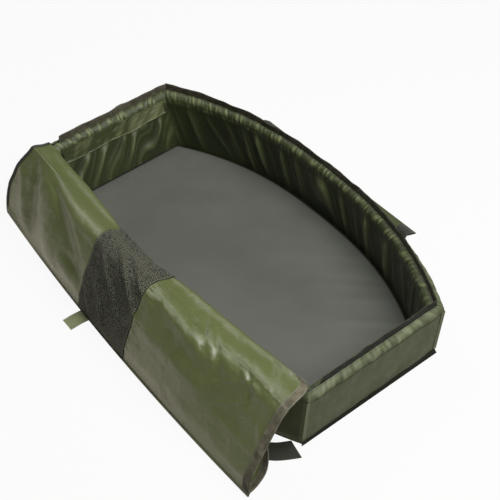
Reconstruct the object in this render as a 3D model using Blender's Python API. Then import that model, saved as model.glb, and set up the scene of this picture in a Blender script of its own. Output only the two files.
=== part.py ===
"""Unhooking mat: a padded tray for landed fish, with four foam walls, a lid that is turned
back over the front wall and folded under itself, and a carry wing hanging behind.

X runs along the mat, Y from the front wall to the back wall, and Z up from the ground.
All sizes are in metres.
"""
import math

import bpy
import numpy as np
from mathutils import Matrix, Vector

# Plan of the mat at the ground
FOOT_HALF_LENGTH = 0.500
END_HALF_WIDTH = 0.210
BACK_BULGE = 0.124
FRONT_FOOT_BULGE = 0.105
FRONT_TOP_BULGE = 0.035
BULGE_POWER = 2.45

# Walls
WALL_HEIGHT = 0.178
WALL_THICKNESS = 0.030
LEFT_FLARE = 0.057
RIGHT_FLARE = 0.014
COVER_THICKNESS = 0.0012
FIT = 0.0003
FOAM_FIT = 0.0011
MITRE_GAP = 0.0006
FOAM_TOP_DROP = 0.0095
FOAM_CHAMFER = 0.006
GATHER_DEPTH = 0.0016
GATHER_PITCH = 0.047
GATHER_FADE = 0.035
GATHER_DRIFT_SHARE = 1.3
GATHER_DRIFT_SPAN = 0.174
ROLL_RUFFLE = 0.0010
ROLL_RUFFLE_PITCH = 0.019

# Base
SHEET_THICKNESS = 0.0015
FLOOR_TOP = 0.033
FLOOR_CROWN = 0.003
LINER_THICKNESS = 0.0015
LIP_THICKNESS = 0.0016
LIP_FRONT_HEIGHT = 0.005
LIP_BACK_HEIGHT = 0.016

# Tape that stands along the tops of three walls
FLANGE_TOP = 0.197
FLANGE_FOOT = 0.1695
FLANGE_THICKNESS = 0.0020
FLANGE_FIT = 0.0009
FLANGE_FRONT_GAP = 0.045
FLANGE_WAVE = 0.0011
FLANGE_WAVE_PITCH = 0.085

# Corner welts
WELT_REACH = 0.009
WELT_THICKNESS = 0.0013
WELT_FOOT = 0.018
WELT_TOP = 0.158

# Flap over the foam pocket of the left wall
POCKET_HINGE_HEIGHT = 0.160
POCKET_DROP = 0.036
POCKET_STANDOFF = 0.0028
POCKET_THICKNESS = 0.0014
POCKET_FRONT = -0.155
POCKET_BACK = 0.160

# Lid: its crest hinge and its first fold run a little askew to the mat
LID_AXIS_Y = -0.261
LID_AXIS_Z = 0.200
LID_SKEW = 0.052
LID_RUN_OUT = 0.1035
LID_FOOT_HEIGHT = 0.0020
LID_THICKNESS = 0.0016
LID_LAYER_STEP = 0.0022
LID_HINGE_GAP = 0.0006
LID_TAPE_START = 0.006
LID_FOLD_GAP = 0.0012
LID_TOP_LEFT = -0.547
LID_TOP_RIGHT = 0.500
LID_FOOT_LEFT = -0.568
LID_FOOT_RIGHT = 0.538
MESH_LEFT = -0.160
MESH_RIGHT = 0.045
PANEL_GAP = 0.0004
LID_WAVE = 0.0040
LID_WAVE_FADE = 0.060
LID_LONG_FOLD = (0.31, 0.52)
LID_SHORT_FOLD = (0.17, 0.40)
LID_SHORT_FOLD_SHARE = 0.6
LID_SHORT_FOLD_TURN = 1.1
LID_SWELL = 0.028
LID_SWELL_LEFT = (-0.53, -0.36)
LID_SWELL_RIGHT = (0.32, 0.47)
LID_SWELL_TOP_SHARE = (0.2, 0.44)
LID_SWELL_FOOT_SHARE = (0.48, 1.0)
TAIL_DEPTH = 0.152
TAIL_TIP_LEFT = -0.552
TAIL_TIP_RIGHT = 0.508
EDGE_DEPTH = 0.140
EDGE_MIN_DEPTH = 0.020
EDGE_END_INSET = 0.045
CREST_EDGE_HEIGHT = 0.1660
CREST_STANDOFF = 0.0020
CREST_HEM_STOP_SHARE = 0.88
CREST_HEM_END_SHARE = 0.02
CREST_HEIGHT = 0.1855
CREST_END_DROP = 0.0022
CREST_HINGE_GAP = 0.0012
LID_TAPE_WIDTH = 0.022
LID_BINDING_WIDTH = 0.009
TAPE_THICKNESS = 0.0012

# Pull tab at the lid's foot
TAB_CENTRE = -0.1425
TAB_WIDTH = 0.039
TAB_LENGTH = 0.047
TAB_THICKNESS = 0.0016
TAB_HINGE_RISE = 0.0004
TAB_HINGE_OUT = 0.0013

# Webbing
WEBBING_WIDTH = 0.038
WEBBING_THICKNESS = 0.0018
STRAP_FOOT = 0.0027
STRAP_LEAVES_WALL = 0.120
STRAP_ARCH_RISE = 0.052
STRAP_END_GAP = 0.0018
STRAP_END_REACH = 0.024
STRAP_END_RISE = 0.020
FRONT_STRAP_TOP = 0.150
LOOSE_WIDTH = 0.048
LOOSE_FIT = -0.0010
LOOSE_RUN = 0.150
LOOSE_RUN_DROP = 0.011
LOOSE_BEND_ALONG = 0.052
LOOSE_BEND_BACK = 0.012
LOOSE_TIP_ALONG = 0.0395
LOOSE_TIP_BACK = 0.065

# Carry wing behind the back wall
WING_AXIS_Y = 0.352
WING_AXIS_Z = 0.146
WING_THICKNESS = 0.0014
WING_FOLD_HEIGHT = 0.0070
WING_LOWER_LENGTH = 0.080
WING_HINGE_GAP = 0.0013
WING_TOP_HALF = 0.281
WING_GRIP_HALF = 0.072
STRAP_X = WING_TOP_HALF - WEBBING_WIDTH / 2
WING_MESH_HALF = 0.095
WING_SEAM_HEIGHT = 0.152
WING_SEAM_STANDOFF = 0.0010
GRIP_RADIUS = 0.011
GRIP_HALF_LENGTH = 0.0725
GRIP_SEAM = 0.0016

# Front carry wing, pinned between the front wall and the turned-back lid
FRONT_WING_TOP = 0.150
FRONT_WING_TOP_HALF = 0.236
FRONT_WING_STANDOFF = 0.0017
FRONT_WING_FIT = 0.0006
FRONT_WING_ANGLE = math.radians(57)
FRONT_GRIP_Y = -0.3345

# Facet counts
LONG_STEPS = 30
GATHER_STEPS = 54
END_STEPS = 8
END_GATHER_STEPS = 22
HEIGHT_STEPS = 4
ARC_STEPS = 3
FOAM_STEPS = 24
PANEL_STEPS = 11
MESH_STEPS = 6
DEPTH_STEPS = 9
TAIL_STEPS = 6
STRAP_STEPS = 12
GRIP_SIDES = 16

# Colour of each material, and its roughness
SLOTS = {
    "nylon_outer": ((0.115, 0.130, 0.070), 0.55),
    "nylon_inner": ((0.045, 0.058, 0.024), 0.35),
    "nylon_lid": ((0.140, 0.165, 0.085), 0.35),
    "nylon_roll": ((0.185, 0.215, 0.120), 0.45),
    "pvc_grey": ((0.125, 0.128, 0.115), 0.50),
    "pvc_black": ((0.022, 0.023, 0.020), 0.55),
    "foam": ((0.30, 0.30, 0.28), 0.90),
    "mesh": ((0.050, 0.052, 0.042), 0.80),
    "hook_tape": ((0.075, 0.066, 0.050), 0.90),
    "webbing_dark": ((0.050, 0.052, 0.040), 0.80),
    "webbing_light": ((0.150, 0.155, 0.105), 0.75),
}


def clear_scene():
    """Empties the scene."""
    for item in list(bpy.data.objects):
        bpy.data.objects.remove(item, do_unlink=True)


def paint(piece, slot):
    """Gives a piece its own Principled material in the slot's colour."""
    material = bpy.data.materials.new(piece.name)
    material.use_nodes = True
    shader = material.node_tree.nodes["Principled BSDF"]
    colour, roughness = SLOTS[slot]
    shader.inputs["Base Color"].default_value = (*colour, 1.0)
    shader.inputs["Roughness"].default_value = roughness
    shader.inputs["Metallic"].default_value = 0.0
    piece.data.materials.append(material)


def add_piece(name, points, faces, slot):
    """Makes one closed piece whose faces look outward."""
    points = np.asarray(points, dtype=float)
    volume = 0.0
    for face in faces:
        first = points[face[0]]
        for second, third in zip(face[1:-1], face[2:]):
            volume += float(np.dot(first, np.cross(points[second], points[third])))
    if volume < 0.0:
        faces = [tuple(reversed(face)) for face in faces]
    mesh = bpy.data.meshes.new(name)
    mesh.from_pydata([tuple(point) for point in points], [], faces)
    mesh.validate()
    piece = bpy.data.objects.new(name, mesh)
    bpy.context.scene.collection.objects.link(piece)
    paint(piece, slot)
    return piece


def solid_between(name, upper, lower, slot):
    """Closes the space between two grids of the same shape into one solid."""
    rows, columns = upper.shape[:2]
    count = rows * columns

    def at(row, column, side):
        return side * count + row * columns + column

    faces = []
    for row in range(rows - 1):
        for column in range(columns - 1):
            faces.append((at(row, column, 0), at(row + 1, column, 0),
                          at(row + 1, column + 1, 0), at(row, column + 1, 0)))
            faces.append((at(row, column, 1), at(row, column + 1, 1),
                          at(row + 1, column + 1, 1), at(row + 1, column, 1)))
    rim = [(row, 0) for row in range(rows)]
    rim += [(rows - 1, column) for column in range(1, columns)]
    rim += [(row, columns - 1) for row in range(rows - 2, -1, -1)]
    rim += [(0, column) for column in range(columns - 2, 0, -1)]
    for here, there in zip(rim, rim[1:] + rim[:1]):
        faces.append((at(*here, 0), at(*here, 1), at(*there, 1), at(*there, 0)))
    points = np.concatenate([upper.reshape(-1, 3), lower.reshape(-1, 3)])
    return add_piece(name, points, faces, slot)


def normals(grid):
    """Unit normals of a grid of points, from its neighbours."""
    along = np.gradient(grid, axis=0)
    across = np.gradient(grid, axis=1)
    normal = np.cross(along, across)
    return normal / np.linalg.norm(normal, axis=2, keepdims=True)


def sheet(name, grid, thickness, slot):
    """Makes a sheet of even thickness about a grid of points."""
    half = normals(grid) * (thickness / 2)
    return solid_between(name, grid + half, grid - half, slot)


def loft(name, rings, slot):
    """Joins closed rings of points into one solid with flat ends."""
    count, sides = rings.shape[:2]
    faces = []
    for ring in range(count - 1):
        for side in range(sides):
            after = (side + 1) % sides
            faces.append((ring * sides + side, ring * sides + after,
                          (ring + 1) * sides + after, (ring + 1) * sides + side))
    faces.append(tuple(reversed(range(sides))))
    faces.append(tuple((count - 1) * sides + side for side in range(sides)))
    return add_piece(name, rings.reshape(-1, 3), faces, slot)


def mix(start, end, share):
    """The value a share of the way from start to end."""
    return start + (end - start) * share


def bulge_share(place_share):
    """How much of the side bulge is reached at a place from -1 to 1 along the mat."""
    return 1.0 - np.abs(place_share) ** BULGE_POWER


def lean_share(height):
    """How far up the wall a height is, from 0 to 1."""
    return np.minimum(height, WALL_HEIGHT) / WALL_HEIGHT


def end_x(side, inset, height):
    """X of an end wall's face, a distance inset from its outside."""
    flare = np.where(side < 0, LEFT_FLARE, RIGHT_FLARE) * lean_share(height)
    return side * (FOOT_HALF_LENGTH + flare - inset)


def long_x(place_share, inset, height):
    """X at a place along a long wall, mitred into both end walls."""
    left = end_x(-1, inset, height)
    right = end_x(1, inset, height)
    return mix(left, right, (place_share + 1) / 2)


def place_at(x, inset, height):
    """Place from -1 to 1 along a long wall where its face has this x."""
    left = end_x(-1, inset, height)
    right = end_x(1, inset, height)
    return 2 * (x - left) / (right - left) - 1


def back_y(place_share, inset):
    """Y of the back wall's face."""
    return END_HALF_WIDTH - inset + BACK_BULGE * bulge_share(place_share)


def front_y(place_share, inset, height):
    """Y of the front wall's face, which is drawn inwards at its top."""
    bulge = mix(FRONT_FOOT_BULGE, FRONT_TOP_BULGE, lean_share(height))
    return -(END_HALF_WIDTH - inset + bulge * bulge_share(place_share))


def long_face(side, place_share, inset, height):
    """Points on a long wall: side 1 is the back wall and -1 the front wall."""
    x = long_x(place_share, inset, height)
    y = back_y(place_share, inset) if side > 0 else front_y(place_share, inset, height)
    return np.stack(np.broadcast_arrays(x, y, height), axis=-1)


def end_face(side, place_share, inset, height):
    """Points on an end wall, at a place from -1 at the front to 1 at the back."""
    x = end_x(side, inset, height)
    y = place_share * (END_HALF_WIDTH - inset)
    return np.stack(np.broadcast_arrays(x, y, height), axis=-1)


def cover_profile(inner):
    """Inset and height along one cover, from its foot to the tape at the top."""
    radius = WALL_THICKNESS / 2
    reach = radius - COVER_THICKNESS / 2
    foot = SHEET_THICKNESS + FIT
    shoulder = WALL_HEIGHT - radius
    stop = math.acos((FLANGE_THICKNESS / 2 + FLANGE_FIT) / reach)
    heights = np.linspace(foot, shoulder, HEIGHT_STEPS + 1)
    angles = np.linspace(0, stop, ARC_STEPS + 1)[1:]
    insets = np.concatenate([np.full(heights.shape, radius - reach), radius - reach * np.cos(angles)])
    heights = np.concatenate([heights, shoulder + reach * np.sin(angles)])
    if inner:
        insets = WALL_THICKNESS - insets
    return insets, heights


def gather(grid, run, heights, sign_share):
    """Lifts an inner cover into upright gathers and ruffles its roll, away from the foam."""
    face = normals(grid) * sign_share
    shoulder = WALL_HEIGHT - WALL_THICKNESS / 2
    rise = np.clip((heights - FLOOR_TOP) / (shoulder - FLOOR_TOP), 0, 1)
    body = np.sin(math.pi * rise) ** 2
    roll = np.clip((heights - shoulder) / (WALL_HEIGHT - shoulder), 0, 1)
    roll = np.sin(math.pi * roll)
    turn = 2 * math.pi / GATHER_PITCH
    drift = GATHER_DRIFT_SHARE * np.sin(2 * math.pi / GATHER_DRIFT_SPAN * run)
    wave = 0.5 + 0.5 * np.sin(turn * run + drift)
    ruffle = 0.5 + 0.5 * np.sin(2 * math.pi / ROLL_RUFFLE_PITCH * run)
    lift = GATHER_DEPTH * wave[:, None] * body[None, :]
    lift = lift + ROLL_RUFFLE * ruffle[:, None] * roll[None, :]
    room = np.clip((np.max(np.abs(run)) - np.abs(run)) / GATHER_FADE, 0, 1)
    return grid + face * (lift * room[:, None])[..., None]


def places(steps, half_length):
    """Places from end to end of a wall, a mitre gap short at each end."""
    reach = 1 - MITRE_GAP / half_length
    return np.linspace(-reach, reach, steps + 1)


def outward_sign(grid, centre):
    """1 if the grid's normals point away from the centre, else -1."""
    middle = tuple(size // 3 for size in grid.shape[:2])
    way = normals(grid)[middle] @ (grid[middle] - centre)
    return 1.0 if way > 0 else -1.0


def build_wall(name, face, half_length, steps, gather_steps, slots):
    """One wall: its foam, its outer cover and its gathered inner cover."""
    middle = np.array([0.0, 0.0, WALL_HEIGHT / 2])
    along = places(steps, half_length)
    insets, heights = cover_profile(False)
    grid = face(along[:, None], insets[None, :], heights[None, :])
    sheet(name + "_outer_cover", grid, COVER_THICKNESS, slots[0])

    along = places(gather_steps, half_length)
    insets, heights = cover_profile(True)
    grid = face(along[:, None], insets[None, :], heights[None, :])
    inward = -outward_sign(grid[:, :HEIGHT_STEPS], middle)
    grid = gather(grid, along * half_length, heights, inward)
    sheet(name + "_inner_cover", grid, COVER_THICKNESS, slots[1])

    along = places(steps, half_length)
    side = COVER_THICKNESS + FOAM_FIT
    foot = SHEET_THICKNESS + FIT
    top = WALL_HEIGHT - FOAM_TOP_DROP
    heights = np.array([foot, mix(foot, top, 1 / 2), top - FOAM_CHAMFER, top])
    extra = np.array([0.0, 0.0, 0.0, FOAM_CHAMFER])
    outer = face(along[:, None], (side + extra)[None, :], heights[None, :])
    inner = face(along[:, None], (WALL_THICKNESS - side - extra)[None, :], heights[None, :])
    solid_between(name + "_foam", outer, inner, "foam")


def build_walls():
    """All four walls with their corner welts."""
    def back(place, inset, height):
        return long_face(1, place, inset, height)

    def front(place, inset, height):
        return long_face(-1, place, inset, height)

    def left(place, inset, height):
        return end_face(-1, place, inset, height)

    def right(place, inset, height):
        return end_face(1, place, inset, height)

    slots = ("nylon_outer", "nylon_inner")
    build_wall("back", back, FOOT_HALF_LENGTH, LONG_STEPS, GATHER_STEPS, slots)
    build_wall("front", front, FOOT_HALF_LENGTH, LONG_STEPS, GATHER_STEPS, slots)
    build_wall("left", left, END_HALF_WIDTH, END_STEPS, END_GATHER_STEPS, slots)
    build_wall("right", right, END_HALF_WIDTH, END_STEPS, END_GATHER_STEPS, slots)


def build_welts():
    """A welt down each outside corner."""
    inset = -(FIT + WELT_THICKNESS / 2)
    heights = np.linspace(WELT_FOOT, WELT_TOP, HEIGHT_STEPS)
    for end_name, end in (("left", -1), ("right", 1)):
        for side_name, side in (("front", -1), ("back", 1)):
            rows = []
            for share in (1.0, 0.5):
                rows.append(end_face(end, side * (1 - share * WELT_REACH / END_HALF_WIDTH), inset, heights))
            rows.append(end_face(end, side * 1.0, inset, heights))
            for share in (0.5, 1.0):
                place = end * (1 - share * WELT_REACH / FOOT_HALF_LENGTH)
                rows.append(long_face(side, place, inset, heights))
            sheet(f"welt_{side_name}_{end_name}", np.stack(rows), WELT_THICKNESS, "nylon_outer")


def build_flanges():
    """The fastening tape that stands along the left, back and right walls."""
    inset = WALL_THICKNESS / 2
    heights = np.array([FLANGE_FOOT, WALL_HEIGHT, mix(WALL_HEIGHT, FLANGE_TOP, 1 / 2), FLANGE_TOP])
    sway_shares = np.array([0.0, 0.0, 0.5, 1.0])
    sway = sway_shares * FLANGE_WAVE
    along = places(GATHER_STEPS, FOOT_HALF_LENGTH)
    turn = 2 * math.pi / FLANGE_WAVE_PITCH
    shift = sway[None, :] * np.sin(turn * along * FOOT_HALF_LENGTH)[:, None]
    grid = long_face(1, along[:, None], inset + shift, heights[None, :])
    sheet("back_fastening_tape", grid, FLANGE_THICKNESS, "hook_tape")
    for name, side in (("left", -1), ("right", 1)):
        first = -1 + FLANGE_FRONT_GAP / END_HALF_WIDTH
        last = 1 - MITRE_GAP / END_HALF_WIDTH
        along = np.linspace(first, last, END_GATHER_STEPS)
        shift = sway[None, :] * np.sin(turn * along * END_HALF_WIDTH)[:, None]
        grid = end_face(side, along[:, None], inset + shift, heights[None, :])
        sheet(name + "_fastening_tape", grid, FLANGE_THICKNESS, "hook_tape")


def tray_grid(inset, side_height, middle_height, end_share):
    """A grid over the mat's plan whose middle stands higher than its rim."""
    along = np.linspace(-end_share, end_share, FOAM_STEPS + 1)
    across = np.linspace(-1, 1, END_STEPS + 1)
    height = np.full((along.size, across.size), side_height)
    x = long_x(along, inset, side_height)[:, None] + 0 * across[None, :]
    low = front_y(along, inset, side_height)[:, None]
    high = back_y(along, inset)[:, None]
    y = mix(low, high, (across[None, :] + 1) / 2)
    crown = (1 - along[:, None] ** 4) * (1 - across[None, :] ** 4)
    height = height + (middle_height - side_height) * crown
    return np.stack([x, y, height], axis=-1)


def build_base():
    """The ground sheet, the padded base, its smooth liner and the lip at the near end."""
    solid_between("ground_sheet", tray_grid(0.0, SHEET_THICKNESS, SHEET_THICKNESS, 1.0),
                  tray_grid(0.0, 0.0, 0.0, 1.0), "pvc_black")
    inset = WALL_THICKNESS + FOAM_FIT + GATHER_DEPTH
    rim = FLOOR_TOP - FLOOR_CROWN
    under = rim - LINER_THICKNESS
    foot = SHEET_THICKNESS + FIT
    solid_between("floor_liner", tray_grid(inset, rim, FLOOR_TOP, 1.0),
                  tray_grid(inset, under, FLOOR_TOP - LINER_THICKNESS, 1.0), "pvc_grey")
    solid_between("base_foam", tray_grid(inset, under - FIT, FLOOR_TOP - LINER_THICKNESS - FIT, 1.0),
                  tray_grid(inset, foot, foot, 1.0), "foam")
    along = places(END_STEPS, END_HALF_WIDTH)
    rise = (along + 1) / 2
    top = mix(LIP_FRONT_HEIGHT, LIP_BACK_HEIGHT, rise)
    share = np.linspace(0, 1, 3)
    height = FIT + (top[:, None] - FIT) * share[None, :]
    inset = -(FIT + LIP_THICKNESS / 2)
    grid = end_face(1, along[:, None], inset, height)
    sheet("near_end_lip", grid, LIP_THICKNESS, "pvc_black")


def build_pocket_flap():
    """The flap that closes the foam pocket of the left wall."""
    inset = WALL_THICKNESS + POCKET_STANDOFF
    along = np.linspace(POCKET_FRONT, POCKET_BACK, END_STEPS + 1)
    heights = np.linspace(POCKET_HINGE_HEIGHT - POCKET_DROP, POCKET_HINGE_HEIGHT, 4)
    x = end_x(-1, inset, heights)
    grid = np.stack(np.broadcast_arrays(x[None, :], along[:, None], heights[None, :]), axis=-1)
    sheet("pocket_flap", grid, POCKET_THICKNESS, "nylon_roll")


class LidFrame:
    """Directions of the turned-back lid: along its crest, down its slope and out of it."""

    def __init__(self):
        along = np.array([1.0, -LID_SKEW, 0.0])
        self.along = along / np.linalg.norm(along)
        out = np.array([-LID_SKEW, -1.0, 0.0])
        out = out / np.linalg.norm(out)
        drop = LID_AXIS_Z - LID_FOOT_HEIGHT
        self.length = math.hypot(LID_RUN_OUT, drop)
        cosine = LID_RUN_OUT / self.length
        sine = drop / self.length
        up = np.array([0.0, 0.0, 1.0])
        self.down = out * cosine - up * sine
        self.out = out * sine + up * cosine
        self.origin = np.array([0.0, LID_AXIS_Y, LID_AXIS_Z])

    def point(self, along, down, out):
        """Points at a distance along the crest, down the slope and out of the plane."""
        along, down, out = np.broadcast_arrays(along, down, out)
        return (self.origin + along[..., None] * self.along
                + down[..., None] * self.down + out[..., None] * self.out)


LID = LidFrame()


def lid_wave(along, down):
    """Height of the lid's broad folds, none at its crest or at its foot."""
    fade = np.sin(math.pi * np.clip(down / LID.length, 0, 1)) ** 2
    wave = np.sin(2 * math.pi * (along / LID_LONG_FOLD[0] + down / LID_LONG_FOLD[1]))
    short = np.sin(2 * math.pi * (along / LID_SHORT_FOLD[0] - down / LID_SHORT_FOLD[1])
                   + LID_SHORT_FOLD_TURN)
    wave = wave + LID_SHORT_FOLD_SHARE * short
    left = mix(LID_TOP_LEFT, LID_FOOT_LEFT, down / LID.length)
    right = mix(LID_TOP_RIGHT, LID_FOOT_RIGHT, down / LID.length)
    room = np.minimum(along - left, right - along) - LID_TAPE_WIDTH
    fade = fade * np.clip(room / LID_WAVE_FADE, 0, 1)
    return LID_WAVE * fade * wave / (1 + LID_SHORT_FOLD_SHARE)


def ease(value, low, high):
    """Rises smoothly from 0 at low to 1 at high."""
    share = np.clip((value - low) / (high - low), 0, 1)
    return share * share * (3 - 2 * share)


def lid_swell(along, down):
    """How far the hanging layer stands out, most at mid-height and none at the lid's ends."""
    share = down / LID.length
    middle = ease(along, *LID_SWELL_LEFT) * (1 - ease(along, *LID_SWELL_RIGHT))
    upper = ease(share, *LID_SWELL_TOP_SHARE) * (1 - ease(share, *LID_SWELL_FOOT_SHARE))
    return LID_SWELL * middle * upper


def lid_panels(name, left, right, downs, layer, slots, steps, swell=False):
    """One layer of the lid in three panels: cloth, mesh and cloth."""
    down = downs[None, :]
    edges = ((left, MESH_LEFT - PANEL_GAP / 2, "_left", slots[0], steps[0]),
             (MESH_LEFT + PANEL_GAP / 2, MESH_RIGHT - PANEL_GAP / 2, "_mesh", slots[1], steps[1]),
             (MESH_RIGHT + PANEL_GAP / 2, right, "_right", slots[0], steps[0]))
    for start, end, ending, slot, count in edges:
        share = np.linspace(0, 1, count + 1)[:, None]
        start = np.broadcast_to(start, downs.shape)[None, :]
        end = np.broadcast_to(end, downs.shape)[None, :]
        along = mix(start, end, share)
        rise = lid_wave(along, down) + (lid_swell(along, down) if swell else 0.0)
        grid = LID.point(along, down + 0 * along, layer + rise)
        sheet(name + ending, grid, LID_THICKNESS, slot)


def build_lid():
    """The lid's three folded layers, its tapes and the tab at its foot."""
    slots = ("nylon_lid", "mesh")
    steps = (PANEL_STEPS, MESH_STEPS)
    downs = np.linspace(LID_HINGE_GAP, LID.length - LID_FOLD_GAP, DEPTH_STEPS + 1)
    share = downs / LID.length
    left = mix(LID_TOP_LEFT, LID_FOOT_LEFT, share)
    right = mix(LID_TOP_RIGHT, LID_FOOT_RIGHT, share)
    lid_panels("lid_drape", left, right, downs, 0.0, slots, steps, swell=True)

    tape_out = LID_THICKNESS / 2 + FIT + TAPE_THICKNESS / 2
    across = np.linspace(0, 1, 3)
    downs = np.linspace(LID_TAPE_START, LID.length - LID_FOLD_GAP, DEPTH_STEPS + 1)
    share = downs / LID.length
    left = mix(LID_TOP_LEFT, LID_FOOT_LEFT, share)
    right = mix(LID_TOP_RIGHT, LID_FOOT_RIGHT, share)
    for name, edge, width, slot in (("lid_tape_right", right, -LID_TAPE_WIDTH, "hook_tape"),
                                    ("lid_binding_left", left, LID_BINDING_WIDTH, "webbing_dark")):
        along = edge[None, :] + width * across[:, None]
        rise = lid_wave(along, downs[None, :]) + lid_swell(along, downs[None, :])
        grid = LID.point(along, downs[None, :] + 0 * along, tape_out + rise)
        sheet(name, grid, TAPE_THICKNESS, slot)

    tip = LID.length - TAIL_DEPTH
    downs = np.linspace(tip + LID_FOLD_GAP, LID.length - LID_FOLD_GAP, TAIL_STEPS + 1)
    share = (downs - tip) / TAIL_DEPTH
    left = mix(TAIL_TIP_LEFT, LID_FOOT_LEFT, share)
    right = mix(TAIL_TIP_RIGHT, LID_FOOT_RIGHT, share)
    lid_panels("lid_tail", left, right, downs, -LID_LAYER_STEP, slots, steps)

    build_lid_edge(tip)
    build_tab()


def build_lid_edge(tip):
    """The lid's curved free part, folded back down inside the tail."""
    first = TAIL_TIP_LEFT + EDGE_END_INSET
    last = TAIL_TIP_RIGHT - EDGE_END_INSET
    across = np.linspace(0, 1, TAIL_STEPS + 1)
    for ending, start, end, slot, count in (
            ("_left", first, MESH_LEFT - PANEL_GAP / 2, "nylon_lid", PANEL_STEPS),
            ("_mesh", MESH_LEFT + PANEL_GAP / 2, MESH_RIGHT - PANEL_GAP / 2, "mesh", MESH_STEPS),
            ("_right", MESH_RIGHT + PANEL_GAP / 2, last, "nylon_lid", PANEL_STEPS)):
        along = np.linspace(start, end, count + 1)
        place = 2 * (along - first) / (last - first) - 1
        depth = mix(EDGE_MIN_DEPTH, EDGE_DEPTH, bulge_share(place))
        down = tip + LID_FOLD_GAP + (depth - LID_FOLD_GAP)[:, None] * across[None, :]
        along = along[:, None] + 0 * down
        grid = LID.point(along, down, -2 * LID_LAYER_STEP + lid_wave(along, down))
        sheet("lid_edge" + ending, grid, LID_THICKNESS, slot)


def tab_axis_point():
    """Middle of the line where the pull tab is sewn to the lid's foot."""
    return LID.point(np.array(TAB_CENTRE), np.array(LID.length - TAB_HINGE_RISE),
                     np.array(TAB_HINGE_OUT))


def build_tab():
    """The pull tab, lying on the ground in front of the lid's fold."""
    start = tab_axis_point()
    low = FIT + TAB_THICKNESS / 2
    share = np.linspace(0, 1, 6)
    across = np.linspace(-TAB_WIDTH / 2, TAB_WIDTH / 2, 5)
    away = np.array([LID.along[1], -LID.along[0], 0.0])
    run = share * TAB_LENGTH
    grid = start + across[:, None, None] * LID.along + run[None, :, None] * away
    grid[..., 2] = mix(start[2], low, 1 - (1 - share) ** 2)
    sheet("pull_tab", grid, TAB_THICKNESS, "webbing_light")


def build_crest():
    """The strip of lid that is sewn over the front wall's top."""
    share = np.linspace(0, 1, 9)
    for ending, start, end, slot, count in (
            ("_left", LID_TOP_LEFT, MESH_LEFT - PANEL_GAP / 2, "nylon_lid", PANEL_STEPS),
            ("_mesh", MESH_LEFT + PANEL_GAP / 2, MESH_RIGHT - PANEL_GAP / 2, "mesh", MESH_STEPS),
            ("_right", MESH_RIGHT + PANEL_GAP / 2, LID_TOP_RIGHT, "nylon_lid", PANEL_STEPS)):
        along = np.linspace(start, end, count + 1)
        hinge = LID.point(along, np.zeros(along.size), np.zeros(along.size))
        x = hinge[:, 0]
        place = np.clip(place_at(x, WALL_THICKNESS, CREST_EDGE_HEIGHT), -1, 1)
        inner = front_y(place, WALL_THICKNESS, CREST_EDGE_HEIGHT) + CREST_STANDOFF
        top_inner = front_y(place, WALL_THICKNESS, WALL_HEIGHT)
        outer = hinge[:, 1] + CREST_HINGE_GAP
        at_end = np.clip((np.abs(place_at(x, WALL_THICKNESS, CREST_EDGE_HEIGHT)) - CREST_HEM_STOP_SHARE)
                         / (1 - CREST_HEM_STOP_SHARE - CREST_HEM_END_SHARE), 0, 1)
        hem = mix(CREST_EDGE_HEIGHT, CREST_HEIGHT, at_end)
        corners_y = np.stack([inner, inner, top_inner - WALL_THICKNESS / 2, outer], axis=1)
        level = np.ones(x.size)
        corners_z = np.stack([hem, CREST_HEIGHT * level, (CREST_HEIGHT + CREST_STANDOFF) * level,
                              (LID_AXIS_Z - CREST_END_DROP) * level], axis=1)
        weight = np.stack([(1 - share) ** 3, 3 * share * (1 - share) ** 2,
                           3 * share ** 2 * (1 - share), share ** 3])
        y = corners_y @ weight
        z = corners_z @ weight
        grid = np.stack(np.broadcast_arrays(x[:, None], y, z), axis=-1)
        sheet("lid_crest" + ending, grid, LID_THICKNESS, slot)


def bezier(first, second, third, fourth, share):
    """Points on a cubic curve."""
    share = np.asarray(share)[..., None]
    return ((1 - share) ** 3 * np.asarray(first) + 3 * share * (1 - share) ** 2 * np.asarray(second)
            + 3 * share ** 2 * (1 - share) * np.asarray(third) + share ** 3 * np.asarray(fourth))


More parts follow.
